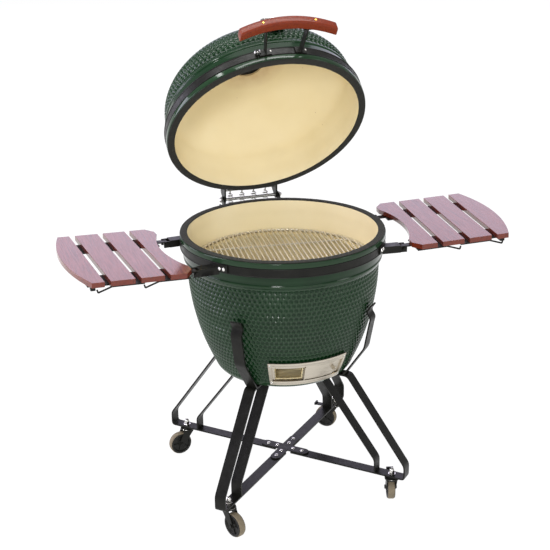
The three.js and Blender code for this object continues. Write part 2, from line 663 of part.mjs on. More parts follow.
// ---------- casters ----------
// Swivel frame: the stem stands on Z at the origin and the wheel trails towards +X.
function casterFork() {
  const { trail, wheel, tread, axle, stem } = CASTER;
  const top = CROSS_Z - BAR.thick / 2 - GAP;
  const side = (y0) => {
    const shape = new THREE.Shape();
    shape.moveTo(-17, top - 5);
    shape.lineTo(-15, top - 16);
    shape.lineTo(trail - 9, wheel - 3);
    shape.absarc(trail, wheel, 9, Math.PI * 1.1, Math.PI * 0.05, false);
    shape.lineTo(19, top - 16);
    shape.lineTo(17, top - 5);
    return new THREE.ExtrudeGeometry(shape, { depth: 2.5, bevelEnabled: false, curveSegments: 3 })
      .rotateX(Math.PI / 2).translate(0, y0 + 2.5, 0);
  };
  const crown = revolve([[0, top - 12], [22, top - 12], [22, top - 6], [14, top - 2], [14, top], [0, top]], 12);
  const post = rod([0, 0, top - 4], [0, 0, CROSS_Z + 12], stem, 10);
  const nutLow = CROSS_Z + BAR.thick / 2 + GAP;
  const nut = rod([0, 0, nutLow], [0, 0, nutLow + 9], 10, 6);
  const dome = rod([0, 0, nutLow + 8], [0, 0, nutLow + 20], 7.5, 8);
  const axis = rod([trail, -tread / 2 - 5, wheel], [trail, tread / 2 + 5, wheel], axle, 10);
  const cheek = tread / 2 + 1.5;
  const bridge = box(-17, 17, -cheek - 2.5, cheek + 2.5, top - 12, top - 8);
  return join(crown, post, nut, dome, axis, bridge, side(cheek), side(-cheek - 2.5));
}

function casterWheel() {
  const { wheel, tread, axle } = CASTER;
  const h = tread / 2;
  const outline = [
    [axle + 0.1, -h], [wheel - 4, -h], [wheel, -h + 4], [wheel, h - 4], [wheel - 4, h], [axle + 0.1, h],
  ];
  return revolve(outline, 30).rotateX(Math.PI / 2);
}

// A foot pedal that pivots on the back of the fork.
function brakePedal() {
  const { trail, wheel } = CASTER;
  const height = wheel + 41.5;
  const hub = rod([trail - 6, -9, height], [trail - 6, 9, height], 3);
  const foot = box(trail - 6, trail + 40, -9, 9, height - 1, height + 2);
  const lip = box(trail + 34, trail + 40, -11, 11, height - 1, height + 7);
  return join(hub, foot, lip);
}

const stand = group(grill, 0, EGG_Y);
LEGS.forEach(({ name, angle, swivel, brake }) => {
  const leg = group(stand);
  leg.rotation.z = rad(angle);
  add(leg, `leg_${name}`, legFrame(), MATERIAL.blackSteel);
  const caster = group(leg, CASTER.radius);
  caster.rotation.z = rad(swivel);
  add(caster, `caster_fork_${name}`, casterFork(), MATERIAL.blackSteel);
  const axle = group(caster, CASTER.trail, 0, CASTER.wheel);
  add(axle, `caster_wheel_${name}`, casterWheel(), MATERIAL.tyre);
  if (brake) add(caster, `brake_pedal_${name}`, brakePedal(), MATERIAL.blackSteel);
});

// ---------- side shelves ----------
function slatShape(index, side) {
  const [x0, x1] = SLATS[index];
  const half = SHELF.half;
  const centre = -SHELF.inner; // the ceramic body's axis
  const points = [];
  if (index === 0) {
    const edge = 158;
    points.push([22, half], [0, half - 30], [0, edge]);
    ways(13).forEach((i) => {
      const y = edge - 8 - ((edge - 8) * 2 * i) / 12;
      points.push([centre + Math.sqrt(SHELF_ARC.inner ** 2 - y ** 2), y]);
    });
    points.push([0, -edge], [0, -half + 30], [22, -half], [x1, -half], [x1, half]);
  } else if (index === SLATS.length - 1) {
    points.push([x0, half], [x0, -half]);
    ways(13).forEach((i) => {
      const y = -half + (half * 2 * i) / 12;
      points.push([SHELF_ARC.outerCentre + Math.sqrt(SHELF_ARC.outer ** 2 - y ** 2), y]);
    });
  } else points.push([x0, half], [x0, -half], [x1, -half], [x1, half]);
  return new THREE.Shape(points.map(([x, y]) => new THREE.Vector2(side * x, y)));
}

function shelfArm({ name, y, width }, side) {
  const [low, high] = [-SHELF.slat - GAP - 4, -SHELF.slat - GAP];
  const across = (a, b) => [Math.min(side * a, side * b), Math.max(side * a, side * b)];
  const rest = box(...across(10, 298), y - width / 2, y + width / 2, low, high);
  const neck = box(...across(FOLD.x, 12), y - FOLD.width / 2, y + FOLD.width / 2, low, high);
  const knuckle = rod([side * FOLD.x, y - FOLD.width / 2, FOLD.z], [side * FOLD.x, y + FOLD.width / 2, FOLD.z],
    FOLD.knuckle, 14);
  const pieces = [rest, neck, knuckle];
  if (name === "front") pieces.push(...shelfHooks(side, low));
  const bore = rod([side * FOLD.x, y - 20, FOLD.z], [side * FOLD.x, y + 20, FOLD.z], FOLD.pin + 0.1, 14);
  return cut(join(...pieces), bore);
}

// Two tool hooks under the front edge, each a thin bar that dips and ends in a tip.
function shelfHooks(side, low) {
  const y = -SHELF.half + 8;
  return SHELF_HOOKS.map((x) => {
    const strip = box(Math.min(side * x, side * (x + 95)), Math.max(side * x, side * (x + 95)),
      -SHELF.half + 4, -178, low, low + 4);
    const at = (u, z) => [side * (x + u), y, low + z];
    return join(strip, rods([at(90, 1.5), at(130, -13), at(133, -4)], 2.5, 8));
  });
}

// The bracket is fixed on the band: a block that follows the band's curve and two ears with a pin.
function shelfBracket({ y }, side) {
  const pivotX = SHELF.inner + FOLD.x;
  const pivotZ = SHELF.top + FOLD.z;
  const across = (a, b) => [Math.min(side * a, side * b), Math.max(side * a, side * b)];
  const ear = FOLD.width / 2 + 1;
  const block = box(...across(230, pivotX - FOLD.knuckle - 2), y - ear - 5, y + ear + 5, pivotZ - 11, pivotZ + 11);
  const ears = [-1, 1].map((s) => {
    const [a, b] = [y + s * ear, y + s * (ear + 5)];
    return box(...across(pivotX - 16, pivotX + 9), Math.min(a, b), Math.max(a, b), pivotZ - 10, pivotZ + 9);
  });
  const pin = rod([side * pivotX, y - ear - 8, pivotZ], [side * pivotX, y + ear + 8, pivotZ], FOLD.pin, 14);
  const clear = revolve([[0, pivotZ - 40], [RIM_R + 0.9, pivotZ - 40], [RIM_R + 0.9, pivotZ + 40], [0, pivotZ + 40]])
    .rotateZ(side * rad(SHELF.yaw));
  return join(cut(join(block, ...ears), clear), pin);
}

for (const [name, side] of [["left", -1], ["right", 1]]) {
  const turned = group(egg);
  turned.rotation.z = -side * rad(SHELF.yaw);
  ARMS.forEach((arm) => add(turned, `shelf_bracket_${name}_${arm.name}`, shelfBracket(arm, side),
    MATERIAL.blackSteel));
  // The shelf tilts about its fold axis, so its knuckles stay on the brackets' pins.
  const fold = group(turned, side * (SHELF.inner + FOLD.x), 0, SHELF.top + FOLD.z);
  fold.rotation.y = -side * rad(SHELF.tilt);
  const shelf = group(fold, -side * FOLD.x, 0, -FOLD.z);
  SLATS.forEach((_, i) =>
    add(shelf, `slat_${name}_${i + 1}`, plate(slatShape(i, side), -SHELF.slat, 0), MATERIAL.shelfWood));
  ARMS.forEach((arm) => add(shelf, `shelf_arm_${name}_${arm.name}`, shelfArm(arm, side), MATERIAL.blackSteel));
}

export default grill;
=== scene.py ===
"""A ceramic kamado charcoal grill with its lid open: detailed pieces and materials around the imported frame.

Shapes are written in millimetres. The ceramic body's own frame has its origin at the centre of the rim plane,
X along the lid hinge, -Y the front and Z up. Angles round the body count from the front towards +X.
"""
import json
import math

import bmesh
import bpy
import numpy as np
from mathutils import Matrix, Vector


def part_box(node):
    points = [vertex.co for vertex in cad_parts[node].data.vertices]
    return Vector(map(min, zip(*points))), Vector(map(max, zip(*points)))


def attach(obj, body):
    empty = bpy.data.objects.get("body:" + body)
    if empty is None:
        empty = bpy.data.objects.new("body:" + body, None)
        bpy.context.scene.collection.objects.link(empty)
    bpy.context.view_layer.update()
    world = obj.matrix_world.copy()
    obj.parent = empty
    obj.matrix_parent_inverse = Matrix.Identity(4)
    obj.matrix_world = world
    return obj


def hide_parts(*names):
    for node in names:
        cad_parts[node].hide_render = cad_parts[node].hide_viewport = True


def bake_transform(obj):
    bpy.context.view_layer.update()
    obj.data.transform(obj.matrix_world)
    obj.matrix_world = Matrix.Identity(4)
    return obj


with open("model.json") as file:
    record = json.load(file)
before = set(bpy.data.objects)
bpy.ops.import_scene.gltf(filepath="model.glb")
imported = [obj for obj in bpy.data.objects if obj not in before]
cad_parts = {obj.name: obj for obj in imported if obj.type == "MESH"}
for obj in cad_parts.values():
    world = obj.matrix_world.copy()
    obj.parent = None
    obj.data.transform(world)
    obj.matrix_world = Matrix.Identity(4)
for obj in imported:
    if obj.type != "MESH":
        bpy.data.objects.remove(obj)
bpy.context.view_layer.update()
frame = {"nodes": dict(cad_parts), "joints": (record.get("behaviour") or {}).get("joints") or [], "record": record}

MM = 0.001
TAU = 2 * math.pi


# ---------- places, from the frame ----------
def joint(name):
    return next(j for j in frame["joints"] if j["name"] == name)


def at(point):
    return Matrix.Translation(point)


BAND_LOW, BAND_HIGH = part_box("base_band")
AXIS_Y = (BAND_LOW.y + BAND_HIGH.y) / 2
RIM_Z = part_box("base_gasket")[1].z + 0.3 * MM
RIM_R = (BAND_HIGH.x - BAND_LOW.x) / 2 / MM
HINGE = Vector(joint("lid_hinge")["pos_m"])
LID_OPEN = -joint("lid_hinge")["range_deg"][0]

EGG = at((0, AXIS_Y, RIM_Z)) @ Matrix.Scale(MM, 4)
LID = at(HINGE) @ Matrix.Rotation(-math.radians(LID_OPEN), 4, "X") @ at(-HINGE) @ EGG
FLOOR = at((0, AXIS_Y, 0)) @ Matrix.Scale(MM, 4)


# ---------- solids: (vertices in millimetres, faces) ----------
def lathe(outline, steps=128):
    """A solid of revolution about Z from a closed outline of (radius, height)."""
    verts, faces, rings = [], [], []
    for r, z in outline:
        if r < 1e-6:
            rings.append([len(verts)])
            verts.append((0, 0, z))
        else:
            rings.append(list(range(len(verts), len(verts) + steps)))
            verts += [(r * math.cos(TAU * i / steps), r * math.sin(TAU * i / steps), z) for i in range(steps)]
    for a, b in zip(rings, rings[1:] + rings[:1]):
        faces += bridge(a, b)
    return np.array(verts, float), faces


def bridge(a, b):
    """Faces between two rings, of which either may be a pole or have fewer points than the other."""
    if len(a) == 1 and len(b) == 1:
        return []
    if len(a) < len(b):
        return [tuple(reversed(f)) for f in bridge(b, a)]
    n, m = len(a), len(b)
    if m == 1:
        return [(a[i], a[(i + 1) % n], b[0]) for i in range(n)]
    k = n // m
    return [
        tuple(a[(i * k + j) % n] for j in range(k + 1)) + (b[(i + 1) % m], b[i]) for i in range(m)
    ]


def sector(outline, start, end, steps):
    """Part of a solid of revolution, between two angles from the front towards +X."""
    verts, n = [], len(outline)
    for i in range(steps + 1):
        a = math.radians(start + (end - start) * i / steps)
        verts += [(r * math.sin(a), -r * math.cos(a), z) for r, z in outline]
    return np.array(verts, float), skin_faces(n, steps + 1)


def skin_faces(n, rings):
    faces = [
        (i * n + j, i * n + (j + 1) % n, (i + 1) * n + (j + 1) % n, (i + 1) * n + j)
        for i in range(rings - 1)
        for j in range(n)
    ]
    return faces + [tuple(range(n)), tuple(range((rings - 1) * n, rings * n))]


def tube(points, radius, sides=8):
    """A round wire along a line of points; radius is one number or one per point."""
    pts = [Vector(p) for p in points]
    radii = radius if hasattr(radius, "__len__") else [radius] * len(pts)
    verts, side = [], None
    for i, p in enumerate(pts):
        along = (pts[min(i + 1, len(pts) - 1)] - pts[max(i - 1, 0)]).normalized()
        side = along.orthogonal() if side is None else side - along * side.dot(along)
        side.normalize()
        other = along.cross(side)
        verts += [
            p + (side * math.cos(TAU * j / sides) + other * math.sin(TAU * j / sides)) * radii[i]
            for j in range(sides)
        ]
    return np.array([tuple(v) for v in verts], float), skin_faces(sides, len(pts))


def prism(outline, low, high, bevel=0.6):
    """An outline in X and Y between two heights, its top and bottom edges bevelled."""
    flat = [Vector(p) for p in outline]
    n = len(flat)
    area = sum(flat[i].x * flat[(i + 1) % n].y - flat[(i + 1) % n].x * flat[i].y for i in range(n))
    if area < 0:
        flat.reverse()
    inner = []
    for i, p in enumerate(flat):
        a, b = (p - flat[i - 1]).normalized(), (flat[(i + 1) % n] - p).normalized()
        mid = Vector((-a.y - b.y, a.x + b.x))
        mid = mid.normalized() if mid.length > 1e-6 else Vector((-a.y, a.x))
        inner.append(p + mid * bevel / max(0.4, mid.dot(Vector((-a.y, a.x)))))
    verts = [
        (q.x, q.y, z)
        for ring, z in ((inner, low), (flat, low + bevel), (flat, high - bevel), (inner, high))
        for q in ring
    ]
    return np.array(verts, float), skin_faces(n, 4)


def block(x0, x1, y0, y1, z0, z1, bevel=0.6):
    return prism([(x0, y0), (x1, y0), (x1, y1), (x0, y1)], z0, z1, bevel)


def rounded(outline, radius, steps=4, closed=True):
    """The outline with each corner turned into an arc."""
    v = [Vector(p) for p in outline]
    out = []
    for i, p in enumerate(v):
        if not closed and i in (0, len(v) - 1):
            out.append(p)
            continue
        before, after = v[i - 1] - p, v[(i + 1) % len(v)] - p
        reach = min(radius, before.length * 0.45, after.length * 0.45)
        a, b = p + before.normalized() * reach, p + after.normalized() * reach
        for j in range(steps + 1):
            t = j / steps
            out.append(a * (1 - t) ** 2 + p * 2 * t * (1 - t) + b * t * t)
    return [tuple(p) for p in out]


def regular(radius, sides, turn=0.0):
    return [
        (radius * math.cos(TAU * i / sides + turn), radius * math.sin(TAU * i / sides + turn))
        for i in range(sides)
    ]


def merge(*solids):
    verts, faces, count = [], [], 0
    for v, f in solids:
        verts.append(v)
        faces += [tuple(i + count for i in face) for face in f]
        count += len(v)
    return np.concatenate(verts), faces


def moved(solid, matrix):
    m = np.array(matrix, float)
    return solid[0] @ m[:3, :3].T + m[:3, 3], solid[1]


def aim(point, direction, turn=0.0):
    """Z along direction, with its origin at point."""
    turned = Vector(direction).to_track_quat("Z", "Y").to_matrix().to_4x4()
    return at(point) @ turned @ Matrix.Rotation(turn, 4, "Z")


def on_side(radius, z, degrees):
    """Z outwards from the body's axis, at an angle from the front towards +X."""
    a = math.radians(degrees)
    out = Vector((math.sin(a), -math.cos(a), 0))
    return aim(out * radius + Vector((0, 0, z)), out)


# ---------- hardware, standing on Z = 0 ----------
def button_head(radius, height):
    arc = [(radius * math.cos(a), height * math.sin(a)) for a in np.linspace(0.15, math.pi / 2, 6)[:-1]]
    return lathe([(0, 0), (radius, 0)] + arc + [(0, height)], 24)


def hex_head(radius, height):
    return prism(regular(radius, 6), 0, height, radius * 0.1)


def dome_nut(radius, height):
    """A washer, a hexagon and a closed dome."""
    cap = radius * 0.8
    dome = [(cap * math.cos(a), height * (0.5 + 0.5 * math.sin(a))) for a in np.linspace(0, math.pi / 2, 7)]
    return merge(
        lathe([(0, -1), (radius * 1.2, -1), (radius * 1.2, 0.3), (0, 0.3)], 24),
        hex_head(radius, height * 0.5),
        lathe([(0, height * 0.4), (cap, height * 0.4)] + dome[:-1] + [(0, height)], 24),
    )


def slot_screw(radius, height):
    """A flat screw head with a shallow cross on it."""
    disc = lathe([(0, 0), (radius, 0), (radius, height * 0.6), (radius * 0.86, height), (0, height)], 24)
    bar = block(-radius * 0.6, radius * 0.6, -radius * 0.1, radius * 0.1, height, height * 1.15, 0.05)
    return merge(disc, *[moved(bar, Matrix.Rotation(i * math.pi / 2, 4, "Z")) for i in range(2)])


# ---------- materials ----------
def linear(r, g, b):
    """A colour given as 0 to 255 screen values."""
    screen = [c / 255 for c in (r, g, b)]
    return tuple(s / 12.92 if s <= 0.04 else ((s + 0.055) / 1.055) ** 2.4 for s in screen) + (1,)


class Finish:
    """One Principled material and the nodes that drive it."""

    def __init__(self, name, **values):
        self.material = bpy.data.materials.new(name)
        self.material.use_nodes = True
        self.tree = self.material.node_tree
        self.shader = self.tree.nodes["Principled BSDF"]
        for socket, value in values.items():
            self.shader.inputs[socket.replace("_", " ")].default_value = value
        self.place = self.node("ShaderNodeTexCoord").outputs["Object"]

    def node(self, kind, inputs=None, **settings):
        n = self.tree.nodes.new(kind)
        for key, value in settings.items():
            setattr(n, key, value)
        for key, value in (inputs or {}).items():
            if isinstance(value, bpy.types.NodeSocket):
                self.tree.links.new(value, n.inputs[key])
            else:
                n.inputs[key].default_value = value
        return n

    def drive(self, socket, value):
        self.tree.links.new(value, self.shader.inputs[socket])
        return self

    def stretched(self, scale, turn=(0, 0, 0)):
        inputs = {"Vector": self.place, "Rotation": turn, "Scale": scale}
        return self.node("ShaderNodeMapping", inputs).outputs[0]

    def noise(self, scale, detail=3.0, place=None, roughness=0.55, distortion=0.0):
        inputs = {"Vector": place or self.place, "Scale": scale, "Detail": detail}
        inputs.update({"Roughness": roughness, "Distortion": distortion})
        return self.node("ShaderNodeTexNoise", inputs).outputs["Fac"]

    def ramp(self, fac, stops):
        ramp = self.node("ShaderNodeValToRGB", {"Fac": fac})
        e = ramp.color_ramp.elements
        while len(e) < len(stops):
            e.new(0.5)
        for element, (position, color) in zip(e, stops):
            element.position = position
            element.color = color if hasattr(color, "__len__") else (color, color, color, 1)
        return ramp.outputs["Color"]

    def mottled(self, scale, detail, low, high):
        """Clouds of noise between two colours or two values."""
        return self.ramp(self.noise(scale, detail), [(0.3, low), (0.7, high)])

    def math(self, operation, a, b=0.0, clamp=False):
        return self.node("ShaderNodeMath", {0: a, 1: b}, operation=operation, use_clamp=clamp).outputs[0]

    def mix(self, fac, a, b):
        mixed = self.node("ShaderNodeMix", {"Factor": fac}, data_type="RGBA")
        for key, value in (("A", a), ("B", b)):
            socket = next(s for s in mixed.inputs if s.name == key and s.type == "RGBA")
            if isinstance(value, bpy.types.NodeSocket):
                self.tree.links.new(value, socket)
            else:
                socket.default_value = value
        return next(s for s in mixed.outputs if s.type == "RGBA")

    def bump(self, height, strength, distance):
        inputs = {"Height": height, "Strength": strength, "Distance": distance}
        return self.drive("Normal", self.node("ShaderNodeBump", inputs).outputs[0])

    def distance(self, point):
        """How far each place is from a point in the row frame, in metres."""
        away = self.node("ShaderNodeVectorMath", {0: self.place, 1: tuple(point)}, operation="DISTANCE")
        return away.outputs["Value"]


def glaze():
    f = Finish("green_glaze", Roughness=0.1, IOR=1.32)
    base = f.mottled(9, 4, linear(7, 33, 13), linear(13, 44, 20))
    # Pointiness lightens convex places. The lighter green on the dimple ridges is partly glaze breaking thin over
    # edges and partly painted highlight.
    edge = f.node("ShaderNodeNewGeometry").outputs["Pointiness"]
    base = f.mix(f.ramp(edge, [(0.49, 0.0), (0.55, 0.5)]), base, linear(62, 82, 62))
    # The pale grey-green on the sharpest edges, such as the bead under the band, is a painted highlight line.
    f.drive("Base Color", f.mix(f.ramp(edge, [(0.56, 0.0), (0.66, 0.6)]), base, linear(132, 146, 130)))
    f.drive("Roughness", f.ramp(f.noise(60, 3), [(0.3, 0.07), (0.75, 0.14)]))
    return f.bump(f.noise(260, 2), 0.12, 0.0004).material


def ceramic(name="cream_ceramic", stain=None):
    f = Finish(name, Roughness=0.55, IOR=1.4)
    base = f.mottled(5, 3, linear(230, 215, 172), linear(238, 225, 187))
    flecks = f.node("ShaderNodeTexVoronoi", {"Vector": f.place, "Scale": 34.0}, feature="F1")
    spots = f.ramp(flecks.outputs["Distance"], [(0.035, 1.0), (0.06, 0.0)])
    some = f.ramp(f.noise(14, 1), [(0.56, 0.0), (0.62, 1.0)])
    base = f.mix(f.math("MULTIPLY", f.math("MULTIPLY", spots, some), 0.6), base, linear(150, 112, 60))
    if stain is not None:
        near = f.math("SUBTRACT", 1.0, f.math("DIVIDE", f.distance(stain), STAIN_REACH), clamp=True)
        cloud = f.math("MULTIPLY", near, f.ramp(f.noise(28, 5), [(0.25, 0.3), (0.6, 1.0)]))
        base = f.mix(f.math("MULTIPLY", cloud, 0.9), base, linear(160, 104, 44))
    f.drive("Base Color", base)
    f.drive("Roughness", f.mottled(40, 3, 0.5, 0.62))
    return f.bump(f.noise(420, 3), 0.18, 0.0006).material


def felt():
    f = Finish("black_felt", Roughness=0.95, Sheen_Weight=0.06, Sheen_Roughness=0.6, Specular_IOR_Level=0.2)
    f.drive("Base Color", f.mottled(900, 4, linear(18, 19, 15), linear(42, 42, 36)))
    return f.bump(f.noise(1400, 4), 0.9, 0.0008).material


def powder_coat():
    f = Finish("black_steel", Roughness=0.3, IOR=1.27)
    f.drive("Base Color", f.mottled(24, 4, linear(16, 16, 13), linear(26, 26, 22)))
    f.drive("Roughness", f.mottled(70, 3, 0.3, 0.44))
    return f.bump(f.noise(1500, 2), 0.2, 0.0003).material


def cast_iron():
    f = Finish("cast_iron", Metallic=0.4, Roughness=0.68)
    f.drive("Base Color", f.mottled(40, 5, linear(34, 34, 33), linear(62, 61, 58)))
    return f.bump(f.noise(900, 4), 0.6, 0.0008).material


def brushed(name, low, high, grain, roughness=0.3, metallic=1.0):
    f = Finish(name, Metallic=metallic, Roughness=roughness)
    lines = f.noise(1.0, 4, f.stretched(grain))
    f.drive("Base Color", f.ramp(lines, [(0.3, low), (0.7, high)]))
    f.drive("Roughness", f.ramp(lines, [(0.3, roughness * 0.8), (0.7, roughness * 1.35)]))
    return f.bump(lines, 0.15, 0.0002).material


def wood(name, dark, light, across, shine, turn=0.0, bands=1.0):
    """Hardwood under lacquer. The grain runs along Y, turned about Z; across is the ring spacing's scale."""
    f = Finish(name, Roughness=0.4, IOR=1.28, Coat_Weight=shine, Coat_Roughness=0.12, Coat_IOR=1.45)
    place = f.stretched((across, across * 0.055, across), (0, 0, turn))
    rings = f.noise(1.6 * bands, 5, place, 0.6, 1.2)
    pores = f.noise(9.0, 4, f.stretched((across * 1.6, across * 0.03, across * 1.6), (0, 0, turn)), 0.7)
    base = f.ramp(rings, [(0.28, dark), (0.5, light), (0.72, dark)])
    base = f.mix(f.ramp(pores, [(0.4, 0.5), (0.5, 0.0)]), base, tuple(c * 0.35 for c in dark[:3]) + (1,))
    f.drive("Base Color", base)
    f.drive("Roughness", f.ramp(pores, [(0.35, 0.5), (0.6, 0.34)]))
    return f.bump(pores, 0.18, 0.0003).material


def tyre():
    f = Finish("caster_tyre", Roughness=0.7)
    f.drive("Base Color", f.mottled(60, 4, linear(104, 94, 76), linear(128, 116, 94)))
    return f.bump(f.noise(700, 3), 0.3, 0.0004).material


def moulded_plastic():
    f = Finish("black_plastic", Roughness=0.45, IOR=1.3)
    f.drive("Base Color", f.mottled(80, 3, linear(20, 20, 18), linear(32, 32, 29)))
    return f.bump(f.noise(1200, 2), 0.25, 0.0003).material


def dial_white():
    f = Finish("dial_white", Roughness=0.5)
    f.drive("Base Color", f.mottled(50, 2, linear(226, 224, 214), linear(240, 238, 230)))
    return f.material


def clear_glass():
    f = Finish("clear_glass", Roughness=0.02, IOR=1.45, Transmission_Weight=1.0)
    f.drive("Roughness", f.ramp(f.noise(30, 2), [(0.4, 0.01), (0.7, 0.04)]))
    return f.material


STAIN = LID @ Vector((0, -20, 250))  # smoke stain inside the lid, round the vent hole
STAIN_REACH = 0.12
SHELF_AXIS = joint("shelf_right_fold")["axis"]
SHELF_YAW = math.atan2(SHELF_AXIS[0], SHELF_AXIS[1])
SLAT_DARK, SLAT_LIGHT = linear(80, 24, 9), linear(112, 38, 15)
MAT = {
    "glaze": glaze(),
    "liner": ceramic(),
    "lid_liner": ceramic("stained_ceramic", STAIN),
    "felt": felt(),
    "black": powder_coat(),
    "iron": cast_iron(),
    "stainless": brushed("stainless", linear(186, 178, 162), linear(206, 198, 184), (40, 40, 900), 0.34),
    "zinc": brushed("zinc_steel", linear(176, 174, 168), linear(214, 212, 206), (300, 300, 300), 0.26),
    "grid": brushed("grid_wire", linear(212, 206, 192), linear(238, 232, 218), (200, 200, 200), 0.36, 0.5),
    "chrome": brushed("bright_steel", linear(214, 212, 206), linear(236, 234, 230), (90, 90, 90), 0.16),
    "brass": brushed("brass", linear(176, 128, 52), linear(214, 166, 84), (260, 260, 260), 0.26),
    "wood_left": wood("shelf_wood_left", SLAT_DARK, SLAT_LIGHT, 46, 1.0, SHELF_YAW),
    "wood_right": wood("shelf_wood_right", SLAT_DARK, SLAT_LIGHT, 46, 1.0, -SHELF_YAW),
    "handle": wood("handle_wood", linear(84, 22, 7), linear(126, 46, 16), 60, 0.12, math.pi / 2, 1.4),
    "tyre": tyre(),
    "plastic": moulded_plastic(),
    "dial": dial_white(),
    "glass": clear_glass(),
}


# ---------- objects ----------
def shade(mesh, degrees):
    mesh.polygons.foreach_set("use_smooth", [True] * len(mesh.polygons))
    mesh.set_sharp_from_angle(angle=math.radians(degrees))


def add(name, solid, place, material, body, replaces=(), smooth=35, inner=None):
    """Shows a solid as a piece that rides on a body. inner is (material, first face that has it)."""
    verts, faces = moved(solid, place)
    mesh = bpy.data.meshes.new(name)
    mesh.from_pydata(verts.tolist(), [], faces)
    mesh.materials.append(MAT[material])
    if inner:
        mesh.materials.append(MAT[inner[0]])
        mesh.polygons.foreach_set("material_index", [int(i >= inner[1]) for i in range(len(faces))])
    work = bmesh.new()
    work.from_mesh(mesh)
    bmesh.ops.recalc_face_normals(work, faces=work.faces)
    work.to_mesh(mesh)
    work.free()
    shade(mesh, smooth)
    piece = bpy.data.objects.new(name, mesh)
    bpy.context.scene.collection.objects.link(piece)
    if isinstance(body, str):
        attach(piece, body)
    if replaces:
        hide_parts(*([replaces] if isinstance(replaces, str) else replaces))
    return piece


def keep(node, material, bevel=0.7, smooth=30):
    """A CAD node stays as it is, with softened edges and a real finish."""
    piece = frame["nodes"][node]
    piece.data.materials.clear()
    piece.data.materials.append(MAT[material])
    if "custom_normal" in piece.data.attributes:
        piece.data.attributes.remove(piece.data.attributes["custom_normal"])
    shade(piece.data, smooth)
    weld = piece.modifiers.new("weld", "WELD")
    weld.merge_threshold = 0.01 * MM
    if bevel:
        soft = piece.modifiers.new("soft_edges", "BEVEL")
        soft.width, soft.segments = bevel * MM, 2
        soft.limit_method, soft.angle_limit = "ANGLE", math.radians(smooth + 8)
        soft.harden_normals = True


def carve(piece, solid, place, material):
    """Cuts a solid out of a piece, whose new faces get the material."""
    cutter = add(piece.name + "_cutter", solid, place, material, None)
    cut = piece.modifiers.new("cut", "BOOLEAN")
    cut.operation, cut.solver, cut.object = "DIFFERENCE", "MANIFOLD", cutter
    cut.material_mode = "TRANSFER"
    mesh = bpy.data.meshes.new_from_object(piece.evaluated_get(bpy.context.evaluated_depsgraph_get()))
    piece.modifiers.clear()
    piece.data = mesh
    bpy.data.objects.remove(cutter)


# ---------- ceramic shells ----------
AROUND, DIMPLES = 732, 122
DIMPLE = {"row": 14.0, "reach": 8.3, "depth": 4.0}
WALL = 20
GASKET_IN = 287
BOWL = {"top": 106, "radius": 291, "depth": 478.6, "power": 1.8, "bottom": 438, "foot": 424}
DOME = {"base": 100, "radius": 296, "height": 170, "hole": 56}
NECK = {"rise": 11, "width": 50}
LIP, BAND_WIDTH, RING_END, BEVEL_END = 19, 26.5, 79.5, 91
BEVEL_IN = 15.5
FULL_ROWS = 185  # rows of dimples on a smaller radius than this have fewer of them


def bowl_radius(depth):
    return BOWL["radius"] * math.sqrt(1 - (max(depth - BOWL["top"], 0) / BOWL["depth"]) ** BOWL["power"])


def dome_radius(height):
    return DOME["radius"] * math.sqrt(1 - (max(height - DOME["base"], 0) / DOME["height"]) ** 2)


def rim_profile():
    """The glazed lip, the band's seat, the plain ring and its bevel, as (radius, distance from the rim)."""
    sharp = [
        (GASKET_IN + 1, 3.1), (RIM_R - 1.5, 3.1), (RIM_R, 5), (RIM_R, LIP - 0.3), (RIM_R - 3.9, LIP - 0.3),
        (RIM_R - 3.9, LIP + BAND_WIDTH + 0.3), (RIM_R - 5.2, LIP + BAND_WIDTH + 0.3), (RIM_R - 8.4, 62),
        (RIM_R - 10.8, 72), (RIM_R - 8.6, 75.5), (RIM_R - 9.4, RING_END + 1), (RIM_R - 13.5, 85),
        (RIM_R - BEVEL_IN, BEVEL_END),
    ]
    return rounded(sharp, 1.6, 3, closed=False)


def along(points, step):
    """Points at about equal steps along a line of (radius, height)."""
    line = np.array(points, float)
    run = np.concatenate([[0], np.cumsum(np.hypot(*np.diff(line, axis=0).T))])
    s = np.linspace(0, run[-1], max(2, round(run[-1] / step)))
    return s, np.interp(s, run, line[:, 0]), np.interp(s, run, line[:, 1])


def dip(s, radius, length):
    """How deep the staggered dimples are at each angle, s along the wall."""
    angle = TAU * np.arange(AROUND) / AROUND
    deepest = np.zeros(AROUND)
    for row in {math.floor(s / DIMPLE["row"] - 0.5), math.floor(s / DIMPLE["row"] + 0.5)}:
        centre = (row + 0.5) * DIMPLE["row"]
        if row < 0 or centre > length - DIMPLE["row"] / 2:
            continue
        count = DIMPLES if radius > FULL_ROWS else max(12, round(DIMPLES * radius / FULL_ROWS))
        phase = angle * count / TAU - 0.5 * (row % 2)
        sideways = (phase - np.round(phase)) * TAU / count * radius
        gap = (sideways ** 2 + (s - centre) ** 2) / DIMPLE["reach"] ** 2
        deepest = np.maximum(deepest, 1 - np.minimum(gap, 1))
    return DIMPLE["depth"] * deepest * min(1, s / 4, (length - s) / 4)


